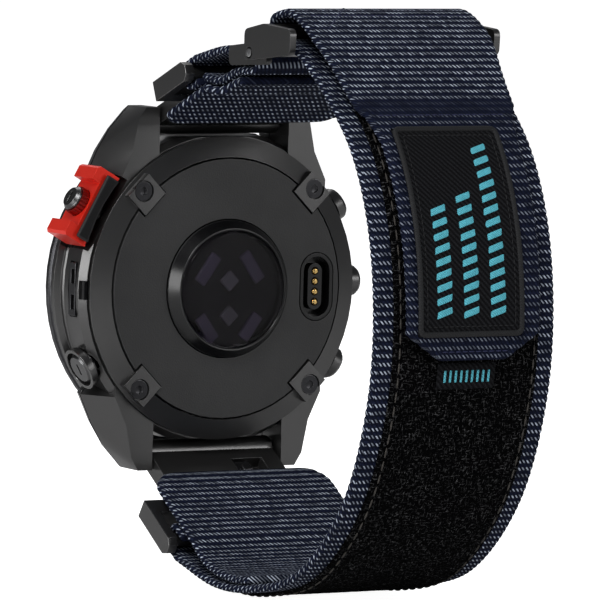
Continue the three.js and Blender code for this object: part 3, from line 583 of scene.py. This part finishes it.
def even_line(points, step):
    """Spaces a Y-Z line evenly; gives the reach, the points and the left-hand normals."""
    p = np.array(points, float)
    keep = np.r_[True, np.linalg.norm(np.diff(p, axis=0), axis=1) > 1e-6]
    p = p[keep]
    reach = np.r_[0, np.cumsum(np.linalg.norm(np.diff(p, axis=0), axis=1))]
    count = int(round(reach[-1] / step)) + 1
    even = np.linspace(0, reach[-1], count)
    q = np.stack([np.interp(even, reach, p[:, 0]), np.interp(even, reach, p[:, 1])], -1)
    run = np.gradient(q, axis=0)
    run /= np.linalg.norm(run, axis=1)[:, None]
    mean = np.ones(5) / 5
    run = np.stack([np.convolve(np.pad(run[:, k], 2, mode="edge"), mean, "valid") for k in (0, 1)], -1)
    run /= np.linalg.norm(run, axis=1)[:, None]
    return even, q, np.stack([-run[:, 1], run[:, 0]], -1)


def strip(name, points, low, high, half, body, pitch=1.15, groove=0.13, across=24, shine=None,
          cell_scale=1.0):
    """A woven strip: a flat section with round edges, carried along a line and pinched in at every pitch.

    The pinch follows the absolute sine of the reach, so each row of weft stands up as a rib on both faces and
    both edges. The map "weave" holds the distance round the section and along the strip in mm, scaled so that
    a row is always 1.15 long and a coarser weave can use the same material.
    """
    reach, line, normal = even_line(points, pitch / 6)
    pull = groove * (1 - np.abs(np.sin(np.pi * reach / pitch)) ** 0.7)
    width = half(reach) if callable(half) else np.full_like(reach, half)
    middle, thick = (low + high) / 2, (high - low) / 2
    flat_across = np.linspace(-1, 1, across + 1)
    bend = np.linspace(90, -90, 7)[1:-1]
    flat = np.r_[flat_across, np.ones(5), flat_across[::-1], -np.ones(5)]
    beyond, above = np.cos(np.radians(bend)), np.sin(np.radians(bend))
    out_x = np.r_[np.zeros(across + 1), beyond, np.zeros(across + 1), -beyond]
    lift = np.r_[np.ones(across + 1), above, -np.ones(across + 1), -above]
    along_flat = np.r_[flat_across, np.ones(5), 2 + flat_across, np.full(5, 3.0), 3.0]
    turned_by = np.radians(90 - bend)
    along_bend = np.r_[np.zeros(across + 1), turned_by, np.full(across + 1, np.pi), np.pi + turned_by,
                       2 * np.pi]
    core = (width - thick)[:, None]
    x = flat * core + out_x * (thick - 1.3 * pull[:, None])
    rise = middle + lift * (thick - pull[:, None])
    y = line[:, 0][:, None] + normal[:, 0][:, None] * rise
    z = line[:, 1][:, None] + normal[:, 1][:, None] * rise
    points_3d = np.stack([x, y, z], -1).reshape(-1, 3) * 0.001
    rows, columns = x.shape
    i, k = np.meshgrid(np.arange(rows - 1), np.arange(columns), indexing="ij")
    j = (k + 1) % columns
    here, there = i * columns, (i + 1) * columns
    quads = np.stack([here + k, here + j, there + j, there + k], -1).reshape(-1, 4)
    first, last = list(range(columns)), list(range((rows - 1) * columns, rows * columns))
    mesh = bpy.data.meshes.new(name)
    mesh.from_pydata(points_3d.tolist(), [], quads.tolist() + [first[::-1], last])
    u = (along_flat * core + along_bend * thick) * cell_scale
    v = np.broadcast_to(reach[:, None] * 1.15 / pitch, u.shape)
    uv = np.stack([u, v], -1)
    corner = np.stack([uv[i, k], uv[i, k + 1], uv[i + 1, k + 1], uv[i + 1, k]], -2)
    ends = np.concatenate([uv[r, :columns] for r in (0, -1)])
    layer = mesh.uv_layers.new(name="weave")
    layer.data.foreach_set("uv", np.concatenate([corner.reshape(-1, 2), ends]).astype(np.float32).ravel())
    # How much painted highlight the weave puts on each row, kept in the point attribute "glint".
    glint = np.ones(rows) if shine is None else shine(reach)
    mark = mesh.attributes.new("glint", "FLOAT", "POINT")
    mark.data.foreach_set("value", np.repeat(glint, columns).astype(np.float32))
    work = bmesh.new()
    work.from_mesh(mesh)
    bmesh.ops.recalc_face_normals(work, faces=work.faces)
    work.to_mesh(mesh)
    work.free()
    mesh.polygons.foreach_set("use_smooth", np.ones(len(mesh.polygons), bool))
    piece = bpy.data.objects.new(name, mesh)
    scene.collection.objects.link(piece)
    if body:
        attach(piece, body)
    return piece


def weave_group():
    """Rows of slanted yarn flecks, read from the map "weave" in mm.

    Each row is split into cells by the distance across plus a slant times the place in the row. A cell's yarn
    stands up as a parabola, and its colour falls with it from "Yarn" to "Deep": painted shade in the gaps
    between yarns, over a random tone per cell. Cells near the row's middle get a painted highlight in the
    base colour, the glint, each by its own random share.
    """
    # Glint is a painted highlight mixed into the base colour; Deep is the painted shade in the gaps between
    # yarns.
    tree, given, result = shader_group(
        "webbing_weave",
        [("Deep", "colour", (0.0018, 0.003, 0.009, 1)), ("Yarn", "colour", (0.0075, 0.011, 0.031, 1)),
         ("Glint", "colour", (0.62, 0.69, 0.82, 1)), ("Pitch", "value", 1.15), ("Cell", "value", 0.66),
         ("Slant", "value", 1.0), ("Glint Amount", "value", 1.0), ("Band", "value", 0.17)])
    place = weave_place(tree)
    axes = joined(tree, "ShaderNodeSeparateXYZ", {}, Vector=place).outputs
    row = math_node(tree, "DIVIDE", axes["Y"], given.outputs["Pitch"])
    index = math_node(tree, "FLOOR", row)
    phase = math_node(tree, "SUBTRACT", math_node(tree, "FRACT", row), 0.5)
    skew = math_node(tree, "DIVIDE", axes["X"], given.outputs["Cell"])
    wander = noise(tree, place, 0.35, 2.0)
    skew = math_node(tree, "MULTIPLY_ADD", wander, 0.3, skew)
    skew = math_node(tree, "ADD", skew, math_node(tree, "MULTIPLY", phase, given.outputs["Slant"]))
    skew = math_node(tree, "MULTIPLY_ADD", index, 0.41, skew)
    cell = math_node(tree, "FLOOR", skew)
    off = math_node(tree, "SUBTRACT", math_node(tree, "FRACT", skew), 0.5)
    key = joined(tree, "ShaderNodeCombineXYZ", {}, X=cell, Y=index).outputs[0]
    chance = joined(tree, "ShaderNodeTexWhiteNoise", {"noise_dimensions": "2D"}, Vector=key).outputs["Value"]
    yarn = math_node(tree, "MULTIPLY_ADD", math_node(tree, "MULTIPLY", off, off), -4.0, 1.0, clamp=True)
    stray = math_node(tree, "MULTIPLY_ADD", chance, 0.12, -0.06)
    near = math_node(tree, "ABSOLUTE", math_node(tree, "ADD", phase, stray))
    full_at = math_node(tree, "MULTIPLY", given.outputs["Band"], 0.45)
    band = joined(tree, "ShaderNodeMapRange", {"interpolation_type": "SMOOTHSTEP"}, Value=near,
                  From_Min=given.outputs["Band"], From_Max=full_at, To_Min=0.0, To_Max=1.0).outputs[0]
    dash = joined(tree, "ShaderNodeMapRange", {"interpolation_type": "SMOOTHSTEP"},
                  Value=math_node(tree, "ABSOLUTE", off), From_Min=0.27, From_Max=0.09, To_Min=0.0,
                  To_Max=1.0).outputs[0]
    shine = joined(tree, "ShaderNodeAttribute", {"attribute_name": "glint"}).outputs["Fac"]
    # Painted highlight: the Glint colour goes on the crest of each yarn near the row's middle, by a random
    # share per cell.
    glint = math_node(tree, "MULTIPLY", math_node(tree, "MULTIPLY", band, dash),
                      math_node(tree, "MULTIPLY_ADD", chance, 0.75, 0.2))
    amount = math_node(tree, "MULTIPLY", shine, given.outputs["Glint Amount"])
    glint = math_node(tree, "MULTIPLY", glint, amount, clamp=True)
    # Painted shade: the colour falls from Yarn to Deep towards each cell's edges as the yarn falls away, over
    # a random tone per cell.
    tone = math_node(tree, "MULTIPLY", math_node(tree, "MULTIPLY_ADD", chance, 0.6, 0.4), yarn, clamp=True)
    yarn_tone_with_gap_shade = blend_colour(tree, tone, given.outputs["Deep"], given.outputs["Yarn"])
    fold = math_node(tree, "MULTIPLY_ADD", math_node(tree, "MULTIPLY", phase, phase), -3.0, 1.0, clamp=True)
    fibre = noise(tree, place, 9.0, 3.0)
    height = math_node(tree, "MULTIPLY", yarn, fold)
    put_out(tree, result, Color=blend_colour(tree, glint, yarn_tone_with_gap_shade, given.outputs["Glint"]),
            Roughness=math_node(tree, "MULTIPLY_ADD", glint, -0.35, 0.86),
            Height=math_node(tree, "MULTIPLY_ADD", fibre, 0.25, height))
    return tree


weave = weave_group()
# The navy webbing: its yarn crests carry a painted highlight and the gaps between yarns a painted shade.
navy = finish("navy_webbing", weave,
              {"Pitch": 1.15, "Cell": 0.66, "Slant": 1.5, "Band": 0.27, "Glint Amount": 0.92},
              bump=0.00012, specular=0.12)

pin_y, pin_z = 7.5, 24.6
connector_angle = {1: math.radians(23), -1: math.radians(33)}
bar_reach, wrap_inner = 20.0, 1.15
strap_half, thickness = 14.9, 1.2


def on_connector(reach, rise, side):
    """Y and Z of a point by its distance from the lug pin along a connector and its height off it."""
    angle = connector_angle[side]
    y = pin_y - reach * math.cos(angle) + rise * math.sin(angle)
    z = pin_z + reach * math.sin(angle) + rise * math.cos(angle)
    return [y, side * z]


fold_centre, fold_radius = (-35.2, 40.2), 1.4
loop_line = smooth_line([on_connector(bar_reach + 2, wrap_inner, -1), [-21.2, -40.0], [-31.0, -39.6],
                         [-44.0, -36.1], [-55.5, -25.6], [-61.4, -12.0], [-62.8, 0], [-60.9, 13.3],
                         [-55.7, 24.0], [-46.0, 33.0], [-40.0, 36.7],
                         [fold_centre[0], fold_centre[1] - fold_radius - thickness]])
wrap = arc_line(on_connector(bar_reach, 0, -1), wrap_inner, 90 + 33, 33 - 90)
long_path = np.vstack([[on_connector(bar_reach + 2, -wrap_inner, -1)], wrap, loop_line])
dress(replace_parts(strip("main_webbing", long_path, 0, thickness, strap_half, "long_band"),
                  "main_strap"), navy)


def liner_half(reach):
    """Half the width of a liner flap: the corners of its free end are rounded off."""
    return np.interp(reach, [0, 0.5, 1.3, 2.4, 3.6], strap_half - np.array([3.6, 1.9, 0.9, 0.2, 0.0]))


liner_low, liner_high, liner_start = thickness + 0.3, 2 * thickness + 0.3, 9.2
bottom_liner = np.vstack([[on_connector(liner_start, -wrap_inner, -1)],
                          smooth_line([on_connector(24.0, -wrap_inner, -1), [-16.2, -39.0], [-20.0, -40.6],
                                       [-26.0, -41.4], [-31.0, -41.1]])])
dress(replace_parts(strip("bottom_liner_webbing", bottom_liner, -liner_high, -liner_low, liner_half,
                        "long_band"), "main_strap_liner"), navy)

# ---- fold and tail ----
# The same strap's free end: it turns back over the ring's bar, narrows to a tip with cut corners, and is held
# on the outside by hooks and loops. The short turn round the bar is a piece of its own, fixed in place.
_, line_all, normal_all = even_line(loop_line, 0.2)
pad_gap, pad_thick, between_pads = 0.1, 0.45, 0.15
outer_line = line_all + normal_all * (thickness + pad_gap + pad_thick + between_pads + pad_thick + pad_gap)
tip_z, meet_z = -4.3, 29.0
on_outside = (line_all[:, 0] < -48) & (line_all[:, 1] > tip_z) & (line_all[:, 1] < meet_z)
tail_path = np.vstack([outer_line[on_outside][:-8], smooth_line([outer_line[on_outside][-1], [-46.6, 37.2],
                       [-42.0, 40.6], [-38.2, 42.0], [fold_centre[0], fold_centre[1] + fold_radius]])[6:],
                       arc_line(fold_centre, fold_radius, 90, -25)[1:]])


def tail_half(reach):
    """Half the width of the tail by the distance from its tip."""
    return np.interp(reach, [0, 3.6, 31, 35.5, 37, 44, 50],
                     [5.6, 11.0, 11.3, 12.2, 13.2, strap_half - 1, strap_half])


def tail_shine(reach):
    """Painted highlight on rows of the tail: full only near the fold; the rest is the duller back of the
    weave.
    """
    return np.interp(reach, [34, 36, 38, 39], [0.4, 0.08, 0.08, 1.0])


dress(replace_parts(strip("tail_webbing", tail_path, 0, thickness, tail_half, "tail",
                        shine=tail_shine), "tail_strap"), navy)
fold_cloth = strip("fold_webbing", arc_line(fold_centre, fold_radius, -23, -92), 0.01, thickness - 0.01,
                   strap_half, None)
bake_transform(dress(fold_cloth, navy))

# ---- short strap ----
# A second length of the same webbing, sewn into a loop round the top connector's bar and the hinge frame's
# bar. A coarser liner flap lies under it at the connector.
short_bar, short_frame = (-28.2, 35.6), 1.1
top_wrap = arc_line(on_connector(bar_reach, 0, 1), wrap_inner, -90 - 23, 90 - 23)
short_over = smooth_line([on_connector(bar_reach + 2, wrap_inner, 1), [-19.5, 35.8], [-24.0, 36.2],
                          [short_bar[0], short_bar[1] + short_frame]])
short_turn = arc_line(short_bar, short_frame, 90, 262)
short_under = smooth_line([[short_bar[0], short_bar[1] - short_frame], [-24.0, 34.2], [-19.0, 32.6],
                           on_connector(24.0, -wrap_inner, 1)])
short_path = np.vstack([[on_connector(bar_reach + 2, -wrap_inner, 1)], top_wrap, short_over, short_turn,
                        short_under[2:]])
dress(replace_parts(strip("short_webbing", short_path, -thickness, 0, strap_half, "short_band"),
                  "short_strap"), navy)
top_liner = np.vstack([[on_connector(liner_start, -wrap_inner, 1)], short_under[14:][::-1]])
dress(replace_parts(strip("top_liner_webbing", top_liner, liner_low, liner_high, liner_half, "short_band",
                        pitch=1.7, cell_scale=0.8), "short_strap_liner"), navy)

# ---- pile pads ----
# Looped pile on the outside of the long strap and hooks under the tail: black, brushed, and sewn down along
# both edges with a dull thread. More rows of navy stitches hem the tail and close it above the patch.


def on_strip(frame, reach, across, rise):
    """Points in metres from their reach along a strip's line, place across it and height off it, in mm."""
    along, line, normal = frame
    y = np.interp(reach, along, line[:, 0]) + np.interp(reach, along, normal[:, 0]) * rise
    z = np.interp(reach, along, line[:, 1]) + np.interp(reach, along, normal[:, 1]) * rise
    return np.stack(np.broadcast_arrays(across, y, z), -1) * 0.001


def grid_faces(rows, columns, first=0):
    """Quads over a grid of points numbered row by row."""
    i, k = np.meshgrid(np.arange(rows - 1), np.arange(columns - 1), indexing="ij")
    corner = first + i * columns + k
    return np.stack([corner, corner + 1, corner + columns + 1, corner + columns], -1).reshape(-1, 4)


def pillow(name, frame, start, stop, half, low, high, body, step=0.35, soft=0.5, rough=0.0, seed=1,
           shift=0.0):
    """A flat patch with soft edges: its top falls to its underside as a quarter ellipse near every edge.

    The height is also lifted and lowered by random amounts up to rough, to give a brushed or nubbly face.
    """
    rows, columns = int((stop - start) / step) + 1, int(2 * half / step) + 1
    r, c = np.meshgrid(np.linspace(start, stop, rows), np.linspace(-half, half, columns), indexing="ij")
    inset_r, inset_c = np.minimum(r - start, stop - r), half - np.abs(c)
    edge = np.clip(np.minimum(inset_r, inset_c) / soft, 0, 1)
    lift = np.sqrt(np.clip(1 - (1 - edge) ** 2, 0, 1))
    noise = np.random.default_rng(seed).uniform(-1, 1, r.shape) * rough * edge
    top = on_strip(frame, r, c + shift, low + (high - low - rough) * lift + noise)
    under = on_strip(frame, r, c + shift, np.full_like(r, low))
    faces = np.vstack([grid_faces(rows, columns), grid_faces(rows, columns, rows * columns)[:, ::-1]])
    mesh = mesh_of(name, np.concatenate([top.reshape(-1, 3), under.reshape(-1, 3)]), faces)
    flat = np.stack([c, r], -1).reshape(-1, 2)
    layer = mesh.uv_layers.new(name="weave")
    layer.data.foreach_set("uv", np.concatenate([flat, flat])[faces.ravel()].astype(np.float32).ravel())
    return placed(name, mesh, body)


def pile_group():
    """Brushed pile: short streaks of painted sheen in two directions over dark cells, read from the map
    "weave" in mm.
    """
    tree, given, result = shader_group(
        "brushed_pile",
        [("Deep", "colour", (0.0008, 0.0008, 0.001, 1)), ("Painted Sheen", "colour", (0.15, 0.15, 0.155, 1))],
        ["Color", "Height"])
    place = weave_place(tree)

    def streaks(turn, stretch, scale):
        """Cloud noise drawn out in one direction."""
        drawn = joined(tree, "ShaderNodeMapping", {}, Vector=place, Rotation=(0, 0, turn), Scale=stretch)
        return noise(tree, drawn.outputs[0], scale, 3.0, 0.6)

    nap = math_node(tree, "MAXIMUM", streaks(0.9, (1.0, 0.3, 1), 4.6), streaks(-0.15, (0.3, 1.0, 1), 4.0))
    # Painted sheen: where the streaks are strongest, the black pile lifts to grey, as light caught on the
    # fibre tips.
    painted_sheen = joined(tree, "ShaderNodeMapRange", {}, Value=nap, From_Min=0.58, From_Max=0.74, To_Min=0.0,
                  To_Max=1.0).outputs[0]
    drift = noise(tree, place, 0.25, 2.0)
    painted_sheen = math_node(tree, "MULTIPLY", painted_sheen, math_node(tree, "MULTIPLY_ADD", drift, 1.4, -0.1, clamp=True))
    put_out(tree, result, Color=blend_colour(tree, painted_sheen, given.outputs["Deep"], given.outputs["Painted Sheen"]),
            Height=nap)
    return tree


pile_black = finish("pile_black", pile_group(), {}, roughness=0.95, bump=0.00022, specular=0.03)
loop_frame = even_line(loop_line, 0.2)
pad_rows = loop_frame[0][(line_all[:, 0] < -18) & ((line_all[:, 1] < 0) | (line_all[:, 0] < -48))]
pad_low, pad_high, pad_half = thickness + pad_gap, thickness + pad_gap + pad_thick, 12.0
dress(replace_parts(pillow("loop_pad_pile", loop_frame, pad_rows[0], pad_rows[-1], pad_half, pad_low, pad_high,
                         "long_band", rough=0.06), "loop_pad"), pile_black)
tail_frame = even_line(tail_path, 0.1)
dress(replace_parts(pillow("hook_pad_pile", tail_frame, 3.0, 29.0, 9.6, -0.55, -0.1, "tail", rough=0.05,
                         seed=2), "hook_pad"), pile_black)


def thread_group():
    """Twisted sewing thread: fine diagonal lines across the object, and a slightly uneven tone."""
    tree, given, result = shader_group("sewing_thread", [("Thread", "colour", (0.05, 0.05, 0.05, 1))],
                                       ["Color", "Height"])
    place = object_place(tree)
    twist = joined(tree, "ShaderNodeTexWave", {"bands_direction": "DIAGONAL"}, Vector=place, Scale=1500.0,
                   Distortion=1.0).outputs["Fac"]
    tone = noise(tree, place, 1200.0, 2.0)
    uneven = math_node(tree, "MULTIPLY_ADD", tone, -0.3, 0.55)
    # Painted shade: the thread darkens in the grooves of its twist, where the height is low; the noise gives
    # an uneven tone.
    shade = math_node(tree, "MULTIPLY_ADD", twist, -0.35, uneven, clamp=True)
    put_out(tree, result, Color=blend_colour(tree, shade, given.outputs["Thread"], (0.0, 0.0, 0.0, 1)),
            Height=twist)
    return tree


thread = thread_group()


def sewn_thread(name, colour, specular=0.3):
    """A thread of one colour; every thread has the same twist and the same dull finish."""
    return finish(name, thread, {"Thread": (*colour, 1)}, roughness=0.7, bump=0.00002, specular=specular)


def stitches(name, frame, places, rise, body, spacing=2.0, length=1.55, radius=0.13, sink=0.45):
    """A run of lock stitches along a line of reach and across pairs: each is a small ellipsoid, half sunk."""
    p = np.array(places, float)
    run = np.r_[0, np.cumsum(np.linalg.norm(np.diff(p, axis=0), axis=1))]
    at = np.arange(spacing / 2, run[-1], spacing)
    middle = np.stack([np.interp(at, run, p[:, k]) for k in (0, 1)], -1)
    ahead = np.stack([np.interp(at + 0.3, run, p[:, k]) - np.interp(at - 0.3, run, p[:, k])
                      for k in (0, 1)], -1)
    ahead /= np.linalg.norm(ahead, axis=1)[:, None]
    turn, tilt = np.meshgrid(np.linspace(0, 2 * np.pi, 8, endpoint=False), np.linspace(0, np.pi, 6),
                             indexing="ij")
    along = (length / 2 * np.cos(tilt)).ravel()
    aside = (radius * np.sin(tilt) * np.cos(turn)).ravel()
    up = (radius * np.sin(tilt) * np.sin(turn)).ravel()
    reach = middle[:, :1] + ahead[:, :1] * along - ahead[:, 1:] * aside
    across = middle[:, 1:] + ahead[:, 1:] * along + ahead[:, :1] * aside
    height = rise + radius * sink + np.broadcast_to(up, reach.shape)
    points = on_strip(frame, reach, across, height).reshape(-1, 3)
    i, k = np.meshgrid(np.arange(8), np.arange(5), indexing="ij")
    here, beside = i * 6 + k, (i + 1) % 8 * 6 + k
    one = np.stack([here, beside, beside + 1, here + 1], -1).reshape(-1, 4)
    faces = (one[None] + (np.arange(len(at)) * 48)[:, None, None]).reshape(-1, 4)
    return placed(name, mesh_of(name, points, faces), body)


dun_thread = sewn_thread("dun_thread", (0.055, 0.05, 0.045))
navy_thread = sewn_thread("navy_thread", (0.022, 0.026, 0.075))
seam_first, seam_last, seam_inset = pad_rows[0] + 0.8, pad_rows[-1] - 0.8, 0.9
for side, label in ((-1, "left"), (1, "right")):
    edge = side * (pad_half - seam_inset)
    dress(stitches(f"pad_stitches_{label}", loop_frame, [(seam_first, edge), (seam_last, edge)],
                   pad_high - 0.04, "long_band"), dun_thread)

top_reach = tail_frame[0][-1] - 8.5
for label, line in (("cross", [(top_reach, -13.0), (top_reach, 13.0)]),
                    ("rising", [(top_reach - 3.2, -11.5), (top_reach + 4.5, -4.0)]),
                    ("hem", [(1.2, -5.4), (1.2, 5.4)]), ("lower_cross", [(35.2, -10.5), (35.2, 10.5)])):
    dress(stitches(f"tail_stitches_{label}", tail_frame, line, thickness - 0.05, "tail",
                   spacing=1.1, length=0.95, radius=0.11), navy_thread)

# ---- patch and tag ----
# A twill patch sewn to the tail, with an overlocked border and three columns of plain satin-stitched bars in
# pale blue thread. A small woven tag with one row of such bars is sewn to the strap under the tail's tip.
patch_start, patch_stop, patch_half, patch_shift = 3.2, 33.0, 8.75, -0.85
patch_low, patch_high = thickness + 0.1, thickness + 0.7


def twill_group():
    """Fine twill: diagonal ribs in both the map's directions, with fuzz, read from the map "weave" in mm."""
    tree, given, result = shader_group(
        "fine_twill",
        [("Cloth", "colour", (0.003, 0.003, 0.0035, 1)), ("Rib", "colour", (0.022, 0.023, 0.026, 1))],
        ["Color", "Height"])
    place = weave_place(tree)
    rib = joined(tree, "ShaderNodeTexWave", {"bands_direction": "DIAGONAL"}, Vector=place, Scale=0.75,
                 Distortion=0.6, Detail=1.0).outputs["Fac"]
    fuzz = noise(tree, place, 5.0, 4.0, 0.7)
    # Painted highlight: the cloth is lighter on the raised crests of its ribs, broken up by the fuzz noise.
    painted_rib_highlight = math_node(tree, "MULTIPLY", rib, math_node(tree, "MULTIPLY_ADD", fuzz, 2.4, -0.7, clamp=True))
    put_out(tree, result, Color=blend_colour(tree, painted_rib_highlight, given.outputs["Cloth"], given.outputs["Rib"]),
            Height=math_node(tree, "ADD", rib, fuzz))
    return tree


patch_cloth = finish("patch_cloth", twill_group(), {}, roughness=0.9, bump=0.00008, specular=0.08)
dress(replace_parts(pillow("patch_cloth", tail_frame, patch_start + 0.15, patch_stop - 0.15, patch_half - 0.15,
                         patch_low, patch_high - 0.3, "tail", step=0.5, rough=0.015, seed=3,
                         shift=patch_shift), "patch"), patch_cloth)


def round_loop(start, stop, half, corner, shift=0.0, count=16):
    """Reach and across pairs round a rectangle with round corners, closed on itself, shifted across."""
    quarter = np.linspace(0, np.pi / 2, count // 4 + 1)
    parts = []
    for r, c, turn in ((stop - corner, half - corner, 0), (start + corner, half - corner, 1),
                       (start + corner, -half + corner, 2), (stop - corner, -half + corner, 3)):
        angle = quarter + turn * np.pi / 2
        parts.append(np.stack([r + corner * np.cos(angle), c + corner * np.sin(angle)], -1))
    loop = np.vstack(parts) + (0, shift)
    return np.vstack([loop, loop[:1]])


def whipped_edge(name, frame, loop, rise, wide, high, body, thread_pitch=0.42):
    """A border wrapped in thread: a flat oval tube round a closed loop, ribbed on a slant all the way."""
    run = np.r_[0, np.cumsum(np.linalg.norm(np.diff(loop, axis=0), axis=1))]
    threads = int(run[-1] / thread_pitch)
    at = np.linspace(0, run[-1], threads * 5, endpoint=False)
    r, c = np.interp(at, run, loop[:, 0]), np.interp(at, run, loop[:, 1])
    dr, dc = np.roll(r, -1) - np.roll(r, 1), np.roll(c, -1) - np.roll(c, 1)
    scale = np.hypot(dr, dc)
    dr, dc = (dr / scale)[:, None], (dc / scale)[:, None]
    angle = np.linspace(0, 2 * np.pi, 12, endpoint=False)
    swell = 1 - 0.13 * (1 - np.abs(np.sin(np.pi * threads * at[:, None] / run[-1] + angle * 0.5)))
    aside, up = wide * np.cos(angle) * swell, high * np.sin(angle) * swell
    points = on_strip(frame, r[:, None] - dc * aside, c[:, None] + dr * aside, rise + up).reshape(-1, 3)
    i, k = np.meshgrid(np.arange(len(at)), np.arange(12), indexing="ij")
    ahead, beside = (i + 1) % len(at), (k + 1) % 12
    faces = np.stack([i * 12 + k, i * 12 + beside, ahead * 12 + beside, ahead * 12 + k], -1).reshape(-1, 4)
    return placed(name, mesh_of(name, points, faces), body)


black_thread = sewn_thread("black_thread", (0.012, 0.0125, 0.014), specular=0.35)
border_loop = round_loop(patch_start + 0.45, patch_stop - 0.45, patch_half - 0.45, 0.8, patch_shift)
seam_loop = round_loop(patch_start + 1.5, patch_stop - 1.5, patch_half - 1.5, 0.5, patch_shift)
dress(whipped_edge("patch_border", tail_frame, border_loop, patch_low + 0.28, 0.42, 0.28, "tail"),
      black_thread)
dress(stitches("patch_inner_stitches", tail_frame, seam_loop, patch_high - 0.33, "tail", spacing=0.9,
               length=0.75, radius=0.09), black_thread)


def satin_bars(name, frame, bars, rise, body):
    """Satin stitch bars: each is a closed pillow, whose threads lie across it as seven small ridges."""
    b = np.array(bars, float)
    rows, columns = 22, 5
    r, c = np.meshgrid(np.linspace(-1, 1, rows), np.linspace(-1, 1, columns), indexing="ij")
    dome = np.sqrt(np.clip(1 - np.abs(r) ** 6, 0, 1) * np.clip(1 - np.abs(c) ** 4, 0, 1))
    ridge = dome * (0.75 + 0.25 * np.abs(np.sin(np.pi * 3.5 * (r + 1))))
    reach = b[:, 0, None] + r.ravel() * b[:, 2, None] + c.ravel() * b[:, 4, None]
    across = b[:, 1, None] + c.ravel() * b[:, 3, None]
    top = on_strip(frame, reach, across, rise + 0.17 * ridge.ravel())
    under = on_strip(frame, reach, across, np.full(reach.shape, rise))
    points = np.concatenate([top, under], 1).reshape(-1, 3)
    one = np.vstack([grid_faces(rows, columns), grid_faces(rows, columns, rows * columns)[:, ::-1]])
    faces = (one[None] + (np.arange(len(b)) * 2 * rows * columns)[:, None, None]).reshape(-1, 4)
    return placed(name, mesh_of(name, points, faces), body)


pale_blue_thread = sewn_thread("cyan_thread", (0.12, 0.56, 0.68))
first_bar, bar_pitch, bar_half_thick, bar_half_wide, bar_slant = 6.6, 1.75, 0.48, 1.45, 0.45
patch_bars = [(first_bar + bar_pitch * number, across + patch_shift, bar_half_thick, bar_half_wide, bar_slant)
              for across, count in ((-4.4, 9), (0.0, 10), (4.4, 14)) for number in range(count)]
dress(satin_bars("patch_bars", tail_frame, patch_bars, patch_high - 0.36, "tail"), pale_blue_thread)

under_tip = (line_all[:, 0] < -55) & (line_all[:, 1] < tip_z - 0.4) & (line_all[:, 1] > tip_z - 4.2)
tag_rows = loop_frame[0][under_tip]
dress(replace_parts(pillow("tag_cloth", loop_frame, tag_rows[0], tag_rows[-1], 4.8, pad_high + 0.1,
                         pad_high + 0.35, "long_band", step=0.3, soft=0.25), "side_tag"),
      patch_cloth)
tag_middle = (tag_rows[0] + tag_rows[-1]) / 2
tag_bars = [(tag_middle, across, 0.85, 0.22, 0.0) for across in np.arange(-3.6, 3.7, 0.9)]
dress(satin_bars("tag_bars", loop_frame, tag_bars, pad_high + 0.3, "long_band"), pale_blue_thread)
